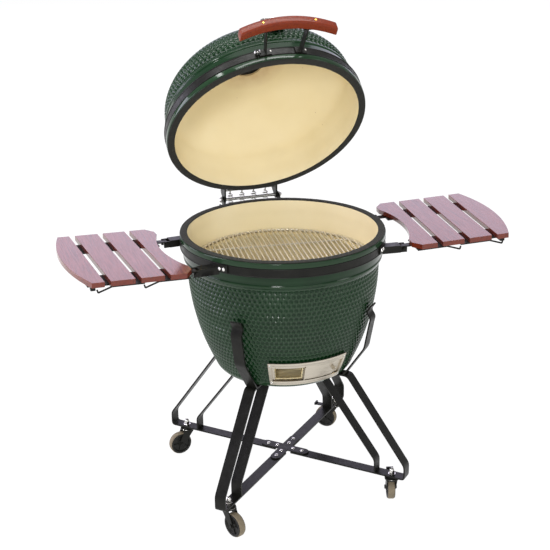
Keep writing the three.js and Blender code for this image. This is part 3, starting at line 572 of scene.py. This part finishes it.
def ceramic_shell(away, wall_line, outer_end, inner_line):
    """Rings of points from the rim's inner edge down the outside and back up the inside.
    away is -1 for the base and 1 for the lid; the last part has a quarter of the points round."""
    verts, rings = [], []

    def ring(r, z, count, inward=(0, 0)):
        a = TAU * np.arange(count) / count
        start = sum(map(len, verts))
        rings.append(list(range(start, start + count)))
        radius, height = r - inward[0], z - inward[1]
        verts.append(np.stack([radius * np.cos(a), radius * np.sin(a), height + 0 * a], 1))

    for r, d in rim_profile():
        ring(r, away * d, AROUND)
    s, radii, heights = along(wall_line, 2.9)
    slope_r, slope_z = np.gradient(radii), np.gradient(heights)
    size = np.hypot(slope_r, slope_z)
    for i in range(1, len(s)):
        deep = dip(s[i], radii[i], s[-1])
        inward = (deep * abs(slope_z[i] / size[i]), -away * deep * slope_r[i] / size[i])
        ring(radii[i], heights[i], AROUND, inward)
    for r, z in outer_end:
        ring(r, z, AROUND)
    glazed = len(rings) - 1
    for r, z in inner_line:
        ring(r, z, AROUND // 4 if r > 1e-6 else 1)
    points = np.concatenate(verts)
    faces, first_inner = [], 0
    for i, (a, b) in enumerate(zip(rings, rings[1:] + rings[:1])):
        if i == glazed:
            first_inner = len(faces)
        if len(a) > 1 or len(b) > 1:
            faces += bridge(a, b)
    return (points, faces), first_inner


def base_shell():
    """The bowl on its foot, with the draft window cut through."""
    wall = [(RIM_R - BEVEL_IN, -BEVEL_END), (bowl_radius(0), -BOWL["top"] + 8)] + [
        (bowl_radius(d), -d) for d in np.linspace(BOWL["top"], BOWL["foot"], 40)
    ]
    foot = [(202, -432), (188, -BOWL["bottom"]), (60, -BOWL["bottom"])]
    inside = [(20, 22 - BOWL["bottom"]), (176, 22 - BOWL["bottom"])]
    inside += [(bowl_radius(d) - WALL, -d) for d in np.linspace(410, 104, 18)]
    inside += [(276, -80), (283, -58), (GASKET_IN, -40), (GASKET_IN, -4.5)]
    solid, first = ceramic_shell(-1, wall, foot, inside)
    shell = add(
        "base_shell_glazed", solid, EGG, "glaze", "base", "base_shell", 50, ("liner", first)
    )
    low, high = DOOR["window_low"], DOOR["window_high"]
    window = [(160, low), (270, low), (270, high), (160, high)]
    carve(shell, sector(window, *DOOR["window"], 12), EGG, "liner")


def lid_shell():
    """The dome, with a neck round the vent hole on the inside."""
    hole = DOME["hole"]

    def arc(radius, height, start, end, count):
        angles = np.linspace(start, end, count)
        return [(radius * math.cos(a), DOME["base"] + height * math.sin(a)) for a in angles]

    wall = [(RIM_R - BEVEL_IN, BEVEL_END)]
    wall += arc(DOME["radius"], DOME["height"], 0, math.acos(hole / DOME["radius"]), 50)
    inner_r = DOME["radius"] - WALL
    inside = [(hole - 5, 264), (hole - 5, 258)]
    for r, z in arc(inner_r, DOME["height"] - WALL, math.acos(hole / inner_r), 0, 34):
        inside.append((r, z + NECK["rise"] * max(0, 1 - (r - hole) / NECK["width"]) ** 2))
    inside += [(281, 76), (GASKET_IN, 50), (GASKET_IN, 4.5)]
    solid, first = ceramic_shell(1, wall, [], inside)
    add("lid_shell_glazed", solid, LID, "glaze", "lid", "lid_shell", 50, ("lid_liner", first))


def rim_parts(name, away, place):
    """The felt gasket and the steel band with its rolled edges."""
    rough = np.random.default_rng(7 if away > 0 else 11)
    low, high = sorted((away * 0.3, away * 2.8))
    section = rounded([(GASKET_IN, low), (RIM_R - 1.5, low), (RIM_R - 1.5, high), (GASKET_IN, high)], 1.1, 3)
    verts, faces = lathe(section, 366)
    fuzz = rough.normal(0, 0.16, len(verts))
    verts[:, 2] = np.clip(verts[:, 2] + fuzz * 0.5, low, high)
    verts[:, :2] *= (1 + fuzz / RIM_R)[:, None]
    add(f"{name}_gasket_felt", (verts, faces), place, "felt", name, f"{name}_gasket", 80)
    near, far = LIP + 0.6, LIP + BAND_WIDTH
    lip = 2.2
    section = [
        (RIM_R - 3.6, near), (RIM_R + 0.1, near), (RIM_R + 0.4, near + lip / 2), (RIM_R + 0.1, near + lip),
        (RIM_R - 0.9, near + lip + 0.8), (RIM_R - 0.9, far - lip - 0.8), (RIM_R + 0.1, far - lip),
        (RIM_R + 0.4, far - lip / 2), (RIM_R + 0.1, far), (RIM_R - 3.6, far),
    ]
    band = lathe([(r, away * d) for r, d in section], 366)
    add(f"{name}_band_steel", band, place, "black", name, f"{name}_band", 30)


# ---------- inside the base ----------
FIRE_BOX_TOP, FIRE_RING_TOP = -210, -100
COAL_GRATE = -344


def firebrick_radius(z):
    return bowl_radius(-z) - WALL - 7


def fire_pieces():
    """The ring and the box of brick, with the box's draft arch and its air holes, and the coal grate."""
    low = FIRE_BOX_TOP + 0.3
    section = [(firebrick_radius(low) - 24, low)]
    section += [(firebrick_radius(z), z) for z in (low, -185, -150, -125, FIRE_RING_TOP)]
    section += [(firebrick_radius(z) - 22, z) for z in (FIRE_RING_TOP, -125, -150, -185)]
    ring = lathe(rounded(section, 3, 3), 200)
    add("fire_ring_brick", ring, EGG, "liner", "base", "fire_ring", 40)
    bottom = 22.3 - BOWL["bottom"]
    section = [(90, bottom), (160, bottom)]
    section += [(firebrick_radius(z), z) for z in np.linspace(bottom + 16, FIRE_BOX_TOP, 9)]
    section += [
        (firebrick_radius(FIRE_BOX_TOP) - 24, FIRE_BOX_TOP), (190, COAL_GRATE + 30), (186, COAL_GRATE - 0.3),
        (150, COAL_GRATE - 0.3), (120, bottom + 30), (90, bottom + 30),
    ]
    box = lathe(rounded(section, 2.5, 2), 200)
    brick = add("fire_box_brick", box, EGG, "liner", "base", "fire_box", 40)
    arch_top = DOOR["window_high"] - 6
    arch = [(60, bottom - 5), (260, bottom - 5), (260, arch_top), (60, arch_top)]
    carve(brick, sector(arch, -DOOR["half"], DOOR["half"], 16), EGG, "liner")
    for i in range(6):
        a = TAU * i / 6
        ends = [(r * math.cos(a), r * math.sin(a), z) for r, z in ((120, -260), (260, -290))]
        carve(brick, tube(ends, 12, 24), EGG, "liner")
    keep("charcoal_grate", "iron", 0.5)


GRID = {"radius": 266, "hoop": 4, "wire": 2.5, "pitch": 14.6, "bar": 3, "bars": (-120, 120), "turn": -6}


def cooking_grid():
    """Parallel wires over two crossbars, inside a round hoop."""
    low = FIRE_RING_TOP + 0.3
    hoop_z, bar_z = low + GRID["hoop"], low + GRID["bar"]
    wire_z = bar_z + GRID["bar"] + GRID["wire"] - 0.8
    reach = GRID["radius"]
    thick = GRID["hoop"]
    hoop = [(reach + thick * math.cos(a), hoop_z + thick * math.sin(a)) for a in np.linspace(0, TAU, 13)[:-1]]
    wires = [lathe(hoop, 200)]
    span = int((reach - 8) / GRID["pitch"])
    for i in range(-span, span + 1):
        x = i * GRID["pitch"]
        half = math.sqrt(reach ** 2 - x ** 2)
        line = [(-half, wire_z - 1.5), (7 - half, wire_z), (half - 7, wire_z), (half, wire_z - 1.5)]
        wires.append(tube([(x, y, z) for y, z in line], GRID["wire"]))
    for y in GRID["bars"]:
        half = math.sqrt(reach ** 2 - y ** 2)
        wires.append(tube([(-half, y, bar_z), (half, y, bar_z)], GRID["bar"]))
    turned = EGG @ Matrix.Rotation(math.radians(GRID["turn"]), 4, "Z")
    add("cooking_grid_wires", merge(*wires), turned, "grid", "grid", "cooking_grid")


# ---------- draft door ----------
DOOR = {
    "low": -418, "high": -333, "half": 28.5, "window_low": -400, "window_high": -353, "window": (-24.5, -4),
    "slider": (-3.5, 21), "tab": (-380, -368),
}


def door_plate(off, thick, low, high, start, end, bevel=0.5):
    """A plate that follows the bowl, off from it, with bevelled outer edges."""
    heights = np.linspace(low, high, 7)
    inner, outer = [[(bowl_radius(-z) + d, z) for z in heights] for d in (off, off + thick)]
    outer[0] = (outer[0][0] - bevel, outer[0][1])
    outer[-1] = (outer[-1][0] - bevel, outer[-1][1])
    return sector(inner + outer[::-1], start, end, max(2, round(abs(end - start) / 1.5)))


def draft_door():
    """A frame round the window with guides above and below, and a slider with a bent tab."""
    low, high, half = DOOR["low"], DOOR["high"], DOOR["half"]
    wl, wh = DOOR["window_low"], DOOR["window_high"]
    w0, w1 = DOOR["window"]
    back = [
        (1, 2, low, wl - 0.1, -half, half), (1, 2, wh + 0.1, high, -half, half),
        (1, 2, wl - 1, wh + 1, -half, w0), (1, 2, wl - 1, wh + 1, w1, half),
    ]
    guides = [
        (2.6, 5, low, wl - 7, -half, half), (2.6, 5, wh + 7, high, -half, half),
        (6.4, 1.2, low + 4, wl - 3, -half, half), (6.4, 1.2, wh + 3, high - 4, -half, half),
        (2.6, 5, low, high, -half, -half + 2.2), (2.6, 5, low, high, half - 2.2, half),
    ]
    lips = [(-5, 6.5, wl - 1.5, wl, w0, w1), (-5, 6.5, wh, wh + 1.5, w0, w1)]
    solid = merge(*[door_plate(*plate) for plate in back + guides + lips])
    add("draft_door_frame_steel", solid, EGG, "stainless", "base", "draft_door_frame", 30)
    s0, s1 = DOOR["slider"]
    slider = [
        door_plate(3.6, 1.6, wl - 5, wh + 5, s0, s1),
        door_plate(4, 7, wl - 2, wh + 2, s0, s0 + 0.6),
        door_plate(4, 14, *DOOR["tab"], s1 - 2, s1 - 1.4),
    ]
    add("draft_door_slide", merge(*slider), EGG, "stainless", "draft", "draft_door_slider", 30)
    screws = [
        moved(button_head(3.4, 2), on_side(bowl_radius(-z) + 7.4, z, angle))
        for z in (low + 9, high - 9)
        for angle in (-half + 1.3, half - 1.3)
    ]
    add("draft_door_screws", merge(*screws), EGG, "zinc", "base")


# ---------- lid: chimney, gauge and handle ----------
CHIMNEY = DOME["base"] + DOME["height"] * math.sqrt(1 - (78 / DOME["radius"]) ** 2)
VENT = CHIMNEY + 46


def vent_holes():
    ring = [(33 * math.cos(TAU * i / 5), 33 * math.sin(TAU * i / 5)) for i in range(5)]
    return merge(*[tube([(x, y, VENT - 23), (x, y, VENT + 20)], 10.5, 32) for x, y in ring])


def chimney():
    """An iron collar over the vent hole and a disc that turns on it, both with five holes."""
    section = rounded([
        (58, VENT), (58, CHIMNEY + 9), (74, CHIMNEY + 6), (76, CHIMNEY + 1.5), (64, CHIMNEY + 4.5),
        (54, CHIMNEY + 4.5), (54, VENT - 4)], 1.5, 3)
    collar = lathe([(0, VENT - 4), (0, VENT)] + section, 96)
    collar = add("chimney_collar_iron", collar, LID, "iron", "lid", "chimney_collar", 35)
    carve(collar, vent_holes(), LID, "iron")
    low = VENT + 0.3
    section = rounded([(59, low), (59, low + 3), (52, low + 6), (24, low + 8)], 1.2, 3, closed=False)
    disc = lathe([(0, low)] + section + [(0, low + 8)], 96)
    disc = add("vent_disc_iron", disc, LID, "iron", "vent", "vent_disc", 35)
    carve(disc, vent_holes(), LID, "iron")
    profile = [(0, 4), (5, 4), (5, 10), (9, 14), (9, 20), (7, 23), (0, 23)]
    knob = lathe(rounded([(r, low + z) for r, z in profile], 1.5, 3, closed=False), 48)
    pointer = block(52, 78, -7, 7, low + 0.5, low + 4, 0.8)
    add("vent_knob", merge(knob, pointer), LID, "iron", "vent")


GAUGE = {"radius": 38, "height": 150, "depth": 14}


def gauge():
    """Thermometer: cup, dial with graduations, glass and needle. Its axis is Z, out of the lid."""
    h = GAUGE["height"]
    tilt = math.atan2((h - DOME["base"]) / DOME["height"] ** 2, dome_radius(h) / DOME["radius"] ** 2)
    place = LID @ at((0, -dome_radius(h), h)) @ Matrix.Rotation(math.pi / 2 - tilt, 4, "X")
    r, top = GAUGE["radius"], 3 + GAUGE["depth"]
    cup = rounded([(r - 4, 6), (r - 4, top), (r, top - 2), (r, 3)], 1.2, 3, closed=False)
    body = merge(
        lathe([(0, 6)] + cup + [(0, 3)], 96),
        tube([(0, 0, -70), (0, 0, 5)], 3, 16),
        tube([(0, 0, 5), (0, 0, 9)], 2.5, 16),
    )
    add("gauge_case", body, place, "chrome", "lid", "thermometer_body", 35)
    add("gauge_dial", lathe([(0, 6.1), (r - 4.4, 6.1), (r - 4.4, 6.9), (0, 6.9)], 72), place, "dial", "lid")
    ticks = []
    for i in range(31):
        a = math.radians(-135 + 9 * i)
        long = 5.5 if i % 5 == 0 else 3
        tick = block(-0.35, 0.35, r - 6.5 - long, r - 6.5, 6.9, 7.1, 0.05)
        ticks.append(moved(tick, Matrix.Rotation(-a, 4, "Z")))
    add("gauge_marks", merge(*ticks), place, "black", "lid")
    glass = lathe([(0, top - 4), (r - 4.3, top - 4), (r - 4.3, top - 3), (0, top - 2.2)], 72)
    add("gauge_glass", glass, place, "glass", "lid")
    hand = merge(
        lathe([(2.8, 7.3), (5.5, 7.3), (5.5, 9.3), (2.8, 9.3)], 32),
        prism([(-1.5, 4), (1.5, 4), (0.4, r - 8), (-0.4, r - 8)], 7.8, 8.8, 0.2),
        prism([(-1.6, -4), (1.6, -4), (1.2, -12), (-1.2, -12)], 7.8, 8.8, 0.2),
    )
    at_rest = place @ Matrix.Rotation(math.radians(135), 4, "Z")
    add("gauge_needle", hand, at_rest, "black", "needle", "thermometer_needle")


HANDLE = {"half": 141, "y": -387, "z": 30, "rise_y": -20, "rise_z": 17, "depth": 29, "height": 27}


def grip_at(x):
    bow = 1 - (x / HANDLE["half"]) ** 2
    return HANDLE["y"] + HANDLE["rise_y"] * bow, HANDLE["z"] + HANDLE["rise_z"] * bow


def handle():
    d, h, half = HANDLE["depth"] / 2, HANDLE["height"] / 2, HANDLE["half"]
    section = rounded([(-d, -h), (d, -h), (d, h), (-d, h)], 6, 5)
    verts, tips = [], [half, half - 0.8, half - 3]
    stations = [-x for x in tips] + list(np.linspace(-half + 8, half - 8, 44)) + tips[::-1]
    for x in stations:
        y, z = grip_at(x)
        near_end = (half - abs(x)) / 3
        size = 1 - 0.09 * (1 - math.sqrt(1 - (1 - min(near_end, 1)) ** 2))
        verts += [(x, y + v * size, z + w * size) for v, w in section]
    grip = np.array(verts), skin_faces(len(section), len(stations))
    add("handle_grip_wood", grip, LID, "handle", "lid", "handle_grip", 40)
    screws = []
    for x in (-74, 78):
        y, z = grip_at(x)
        screws.append(moved(slot_screw(3.4, 1.0), aim((x, y - d + 0.2, z + 1), (0, -1, 0))))
    add("handle_screws", merge(*screws), LID, "brass", "lid")
    for side in ("left", "right"):
        keep(f"handle_bracket_{side}", "black", 0.6)
    band_z = LIP + BAND_WIDTH / 2
    rivets = [moved(button_head(3.2, 2.2), on_side(RIM_R + 4, band_z, angle)) for angle in (-6.9, 12.3)]
    add("handle_bracket_bolts", merge(*rivets), LID, "zinc", "lid")
    lid_clamp()


def lid_clamp():
    """The band's two turned-up ends, drawn together by a bolt beside the left bracket."""
    band_z = LIP + BAND_WIDTH / 2
    spin = Matrix.Rotation(math.radians(-13.2), 4, "Z") @ at((0, -RIM_R, band_z))
    ears = [moved(block(x - 1.2, x + 1.2, -12, 1, -11, 11, 0.5), spin) for x in (-6, 0)]
    add("lid_clamp_ears", merge(*ears), LID, "black", "lid")
    shank = moved(tube([(-12, 0, 0), (6, 0, 0)], 2.6, 16), spin @ at((0, -7, 2)))
    head = moved(hex_head(5.4, 4.4), spin @ aim((1.4, -7, 2), (1, 0, 0)))
    nut = moved(hex_head(5.4, 4), spin @ aim((-7.4, -7, 2), (-1, 0, 0)))
    add("lid_clamp_bolt", merge(shank, head, nut), LID, "chrome", "lid")


# ---------- hinge and springs ----------
SPRING = {"coil": 7.9, "wire": 2.1, "turns": 7, "rod": 2.5}


def spring(index):
    """A helical spring with a hook at each end, stretched between the anchor rod and the lid's rod."""
    middle = centre_of(f"hinge_spring_{index}")
    x, y = middle.x, middle.y
    anchor = centre_of("spring_anchor_rod")
    lift = centre_of("spring_lift_rod")
    r, w = SPRING["coil"] * MM, SPRING["rod"] * MM + SPRING["wire"] * MM
    hook_angles = np.linspace(-2.6, math.pi / 2, 10)
    points = [(x, anchor.y + w * math.sin(a), anchor.z - w * math.cos(a)) for a in hook_angles]
    z0, z1 = anchor.z + 9 * MM, lift.z - 7 * MM
    steps = SPRING["turns"] * 14
    for i in range(steps + 1):
        t = i / steps
        ease = min(1, 6 * t, 6 * (1 - t))
        a = TAU * SPRING["turns"] * t
        points.append((x + r * ease * math.cos(a), y + r * ease * math.sin(a), z0 + (z1 - z0) * t))
    hook_angles = np.linspace(-math.pi / 2, 2.6, 10)
    points += [(x, lift.y - w * math.sin(a), lift.z - w * math.cos(a)) for a in hook_angles]
    solid, node = tube(points, SPRING["wire"] * MM, 7), f"hinge_spring_{index}"
    piece = add(f"hinge_spring_coil_{index}", solid, Matrix.Identity(4), "zinc", None, node, 60)
    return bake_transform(piece)


def centre_of(node):
    low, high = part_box(node)
    return (low + high) / 2


def hinge():
    for node in ("hinge_base_bracket", "hinge_lid_bracket"):
        keep(node, "black", 0.7)
    for node in ("hinge_pin", "spring_anchor_rod", "spring_lift_rod"):
        keep(node, "zinc", 0.4)
    for i in range(1, 5):
        spring(i)
    pin_low, pin_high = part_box("hinge_pin")
    ends = []
    for x, direction in ((pin_low.x, -1), (pin_high.x, 1)):
        tip = Vector((x + direction * 0.2 * MM, HINGE.y, HINGE.z)) / MM
        ends.append(moved(dome_nut(8, 7), aim(tip, (direction, 0, 0))))
    add("hinge_pin_nuts", merge(*ends), Matrix.Scale(MM, 4), "chrome", "base")
    for name, away, place, body in (("base", -1, EGG, "base"), ("lid", 1, LID, "lid")):
        z = away * (LIP + BAND_WIDTH / 2)
        bolts = [moved(hex_head(6.5, 4), on_side(RIM_R + 5, z, 180 + angle)) for angle in (-14, -5, 5, 14)]
        add(f"hinge_{name}_bolts", merge(*bolts), place, "chrome", body)


# ---------- stand and casters ----------
CASTER = {"wheel": 37.5, "tread": 24, "trail": 28, "fork_top": 94.7, "bar_top": 100}


def stand():
    names = ("front_left", "front_right", "rear_right", "rear_left")
    for name in names:
        keep(f"leg_{name}", "black", 0.8)
        caster(name)
    for node in ("stand_cross_plate", "stand_saddle_plate"):
        keep(node, "black", 0.7)
    arms = [math.radians(45 + 90 * arm) for arm in range(4)]
    spots = [(r * math.cos(a), r * math.sin(a)) for a in arms for r in (28, 60)]
    top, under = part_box("stand_cross_plate")[1].z / MM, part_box("stand_saddle_plate")[0].z / MM
    bolts = [moved(button_head(6.2, 3.2), at((x, y, top))) for x, y in spots]
    add("cross_plate_bolts", merge(*bolts), FLOOR, "chrome", "base")
    bolts = [moved(hex_head(6, 4), aim((x, y, under), (0, 0, -1))) for x, y in spots]
    add("saddle_plate_bolts", merge(*bolts), FLOOR, "zinc", "base")


def caster(name):
    """One caster. The swivel frame has its stem on Z and trails to +X."""
    stem = Vector(joint(f"caster_swivel_{name}")["pos_m"])
    spin = Vector(joint(f"wheel_spin_{name}")["pos_m"])
    axis = Vector(joint(f"wheel_spin_{name}")["axis"])
    turned = Matrix.Rotation(math.atan2(-axis.x, axis.y), 4, "Z")
    stand_up = Matrix.Rotation(math.pi / 2, 4, "X")
    caster_fork(name, at((stem.x, stem.y, 0)) @ turned @ Matrix.Scale(MM, 4), stand_up)
    caster_wheel(name, at(spin) @ turned @ stand_up @ Matrix.Scale(MM, 4))
    if f"brake_pedal_{name}" in frame["nodes"]:
        keep(f"brake_pedal_{name}", "black", 0.8)


def caster_fork(name, place, stand_up):
    """Fork, bearing, dome nut and axle."""
    top, wheel, trail, half = CASTER["fork_top"], CASTER["wheel"], CASTER["trail"], CASTER["tread"] / 2
    stem_top = CASTER["bar_top"] + 10
    foot = np.linspace(math.pi * 1.1, math.pi * 2.05, 9)
    cheek = [(-17, top - 5), (-15, top - 16), (trail - 9, wheel - 3)]
    cheek += [(trail + 9 * math.cos(a), wheel + 9 * math.sin(a)) for a in foot]
    cheek += [(19, top - 16), (17, top - 5)]
    crown = [(22, top - 12), (22, top - 6), (14, top - 2), (14, top), (5, top), (5, top - 12)]
    parts = [lathe(rounded(crown, 1, 2), 48)]
    parts += [moved(prism(cheek, -2.5, 0, 0.5), at((0, y, 0)) @ stand_up) for y in (half + 1.5, -half - 4)]
    parts.append(block(-17, 17, -half - 4, half + 4, top - 12, top - 8))
    parts.append(lathe([(0, top - 4), (5.5, top - 4), (5.5, stem_top), (0, stem_top)], 24))
    body = f"caster_{name}"
    add(f"caster_fork_steel_{name}", merge(*parts), place, "black", body, f"caster_fork_{name}")
    race = lathe(rounded([(18, top - 9), (23, top - 7.5), (18, top - 5.5)], 0.8, 2), 48)
    nut = moved(dome_nut(9.5, 20), at((0, 0, CASTER["bar_top"] + 1.4)))
    end = half + 4
    axle = merge(
        tube([(0, 0, -end), (0, 0, end)], 4, 20),
        moved(hex_head(6.5, 3.4), at((0, 0, end))),
        moved(hex_head(6.5, 3.4), aim((0, 0, -end), (0, 0, -1))),
    )
    add(f"caster_nut_{name}", merge(race, nut), place, "chrome", body)
    add(f"caster_axle_{name}", moved(axle, at((trail, 0, wheel)) @ stand_up), place, "black", body)


def caster_wheel(name, rolling):
    """Tread and spoked disc, turning on Z."""
    wheel, half = CASTER["wheel"], CASTER["tread"] / 2
    tread = rounded([
        (wheel - 5, -half + 1.5), (wheel - 2, -half + 1.5), (wheel, -half + 4.5), (wheel, half - 4.5),
        (wheel - 2, half - 1.5), (wheel - 5, half - 1.5)], 2, 3)
    body = f"wheel_{name}"
    add(f"caster_tread_{name}", lathe(tread, 90), rolling, "tyre", body, f"caster_wheel_{name}")
    web, hub = half - 5, 9
    disc = rounded([
        (4.3, -half), (hub, -half), (hub + 2, -web), (wheel - 11, -web), (wheel - 8.5, -half),
        (wheel - 2.6, -half), (wheel - 2.4, -half + 1.6), (wheel - 4.8, -half + 2.2), (wheel - 4.8, half - 2.2),
        (wheel - 2.4, half - 1.6), (wheel - 2.6, half), (wheel - 8.5, half), (wheel - 11, web), (hub + 2, web),
        (hub, half), (4.3, half)], 1, 3)
    rib = block(hub, wheel - 10, -1.3, 1.3, -half + 2, half - 2, 0.5)
    ribs = [moved(rib, Matrix.Rotation(TAU * i / 5, 4, "Z")) for i in range(5)]
    add(f"caster_disc_{name}", merge(lathe(disc, 90), *ribs), rolling, "plastic", body)


# ---------- side shelves ----------
def shelves():
    for side in ("left", "right"):
        for i in range(1, 5):
            keep(f"slat_{side}_{i}", f"wood_{side}", 2.2, 25)
            frame["nodes"][f"slat_{side}_{i}"].modifiers["soft_edges"].segments = 4
        for end in ("front", "rear"):
            keep(f"shelf_arm_{side}_{end}", "black", 0.6)
            keep(f"shelf_bracket_{side}_{end}", "black", 0.7)
        shelf_hardware(side)


def shelf_hardware(side):
    """Bracket flanges on the band with their bolts, pin nuts, slat screws and the corner post."""
    sign = -1 if side == "left" else 1
    z = -LIP - BAND_WIDTH / 2
    flanges, bolts = [], []
    for inner, outer, bolt_angles in ((47.6, 56, (49.9, 52.5)), (124, 132.5, (125.8, 128.6))):
        outline = [(RIM_R + 0.7, z - 11), (RIM_R + 3.7, z - 11), (RIM_R + 3.7, z + 11), (RIM_R + 0.7, z + 11)]
        flanges.append(sector(outline, *sorted((sign * inner, sign * outer)), 8))
        for angle in bolt_angles:
            bolts.append(moved(button_head(5.4, 4), on_side(RIM_R + 3.7, z - 1, sign * angle)))
    add(f"shelf_flanges_{side}", merge(*flanges), EGG, "black", "base")
    add(f"shelf_bolts_{side}", merge(*bolts), EGG, "chrome", "base")
    nuts = []
    pivot = Vector(joint(f"shelf_{side}_fold")["pos_m"]) / MM
    along_axis = Vector(joint(f"shelf_{side}_fold")["axis"]) * sign
    for end in ("front", "rear"):
        middle = centre_of(f"shelf_bracket_{side}_{end}") / MM
        reach = (middle - pivot).dot(along_axis)
        for s in (-1, 1):
            tip = pivot + along_axis * (reach + s * 20.2)
            nuts.append(moved(hex_head(6.4, 4.6), aim(tip - along_axis * s * 3, along_axis * s)))
    add(f"shelf_pin_nuts_{side}", merge(*nuts), Matrix.Scale(MM, 4), "black", "base")
    screws, normal = [], shelf_mount(side)[1]
    for end in ("front", "rear"):
        arm_low, arm_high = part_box(f"shelf_arm_{side}_{end}")
        for i in range(1, 5):
            low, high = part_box(f"slat_{side}_{i}")
            x = (low.x + high.x) / 2 / MM
            y = (arm_low.y * 0.45 + arm_high.y * 0.55) / MM
            top = shelf_top(side, x, y)
            screws.append(moved(button_head(4.2, 2.4), aim(Vector((x, y, top)) - normal * 19.2, -normal)))
    add(f"shelf_screws_{side}", merge(*screws), Matrix.Scale(MM, 4), "zinc", f"shelf_{side}")
    corner_post(side, sign)


def shelf_mount(side):
    """A point on the shelf's top plane and the plane's normal."""
    mount = next(m for m in frame["record"]["mounts"] if m["name"] == f"{side}_shelf_top")
    return Vector(mount["pos_m"]), Vector(mount["axis"])


def shelf_top(side, x, y):
    """Height of the shelf's top plane over a place on the floor, in millimetres."""
    point, n = shelf_mount(side)
    p = point / MM
    return p.z - (n.x * (x - p.x) + n.y * (y - p.y)) / n.z


def corner_post(side, sign):
    """A short post under the outer front corner."""
    low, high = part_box(f"slat_{side}_4")
    x = ((low.x if sign > 0 else high.x) + sign * 30 * MM) / MM
    y = low.y / MM + 34
    top = shelf_top(side, x, y) - 15.4
    post = merge(block(-7, 7, -7, 7, -18, 0, 1.5), block(-9, 9, -9, 9, -3, 0, 0.8))
    add(f"shelf_corner_post_{side}", post, Matrix.Scale(MM, 4) @ at((x, y, top)), "black", f"shelf_{side}")


# ---------- stage ----------
def floor():
    """A wide floor that glows white, as a lit sweep does."""
    mesh, reach = bpy.data.meshes.new("floor"), 60
    corners = [(-reach, -reach, 0), (reach, -reach, 0), (reach, reach, 0), (-reach, reach, 0)]
    mesh.from_pydata(corners, [], [(0, 1, 2, 3)])
    glow = {"Emission_Color": (1, 1, 1, 1), "Emission_Strength": 0.95}
    f = Finish("studio_floor", Roughness=0.9, Specular_IOR_Level=0.0, **glow)
    f.drive("Base Color", f.mottled(0.6, 2, 0.1, 0.11))
    mesh.materials.append(f.material)
    plane = bpy.data.objects.new("floor", mesh)
    bpy.context.scene.collection.objects.link(plane)


def softbox(name, position, target, size, power, color=(1, 1, 1)):
    lamp = bpy.data.lights.new(name, "AREA")
    lamp.shape, lamp.size, lamp.size_y = "RECTANGLE", *size
    lamp.energy, lamp.color = power, color
    box = bpy.data.objects.new(name, lamp)
    bpy.context.scene.collection.objects.link(box)
    box.matrix_world = aim(position, Vector(position) - Vector(target))


def lights():
    world = bpy.data.worlds.new("studio")
    bpy.context.scene.world = world
    world.use_nodes = True
    background = world.node_tree.nodes["Background"].inputs
    background["Color"].default_value = (0.95, 0.95, 1.0, 1)
    background["Strength"].default_value = 0.4
    softbox("key", (-2.0, -4.3, 2.6), (0, 0, 0.8), (0.8, 0.8), 100)
    softbox("front", (0.2, -5.8, 1.5), (0, 0, 0.9), (5.0, 2.6), 54)
    softbox("fill", (3.4, -2.6, 2.2), (0, 0, 0.7), (1.0, 2.0), 25)
    softbox("overhead", (0, 0.2, 4.4), (0, 0, 0), (3.4, 3.4), 44)
    softbox("strip_near", (0.1, 0.0, 4.2), (0.1, 0.0, 0), (3.4, 0.4), 56)
    softbox("strip_far", (-2.5, 0.95, 4.2), (-0.6, 0.3, 1), (2.0, 0.3), 40)
    softbox("rear_lavender", (2.8, 9.0, 4.6), (0, 0, 0.9), (11.0, 6.4), 300, (0.82, 0.76, 1.0))
    softbox("left_lavender", (-4.2, 0.6, 1.5), (0, 0, 0.8), (1.4, 2.2), 90, (0.84, 0.80, 1.0))
    softbox("rear_left_lavender", (-4.6, 3.6, 1.6), (0, 0, 0.9), (1.6, 2.4), 70, (0.86, 0.82, 1.0))


def camera():
    """Looks down at 20.8 degrees, from the left of the front."""
    back = Vector((-0.27584576, -0.89315503, 0.35522277))
    azimuth, roll = -0.2996, -0.0147
    right = Vector((math.cos(azimuth), math.sin(azimuth), 0))
    up = back.cross(right)
    right, up = right * math.cos(roll) + up * math.sin(roll), up * math.cos(roll) - right * math.sin(roll)
    data = bpy.data.cameras.new("camera")
    data.lens, data.sensor_width = 78.22, 36
    data.clip_end = 100
    eye = bpy.data.objects.new("camera", data)
    facing = Matrix((right, up, back)).transposed().to_4x4()
    eye.matrix_world = at((-1.03137, AXIS_Y - 3.25526, 1.99551)) @ facing
    bpy.context.scene.collection.objects.link(eye)
    bpy.context.scene.camera = eye


base_shell()
lid_shell()
rim_parts("base", -1, EGG)
rim_parts("lid", 1, LID)
fire_pieces()
cooking_grid()
draft_door()
chimney()
gauge()
handle()
hinge()
stand()
shelves()
floor()
lights()
camera()
bpy.context.scene.view_settings.view_transform = "Standard"
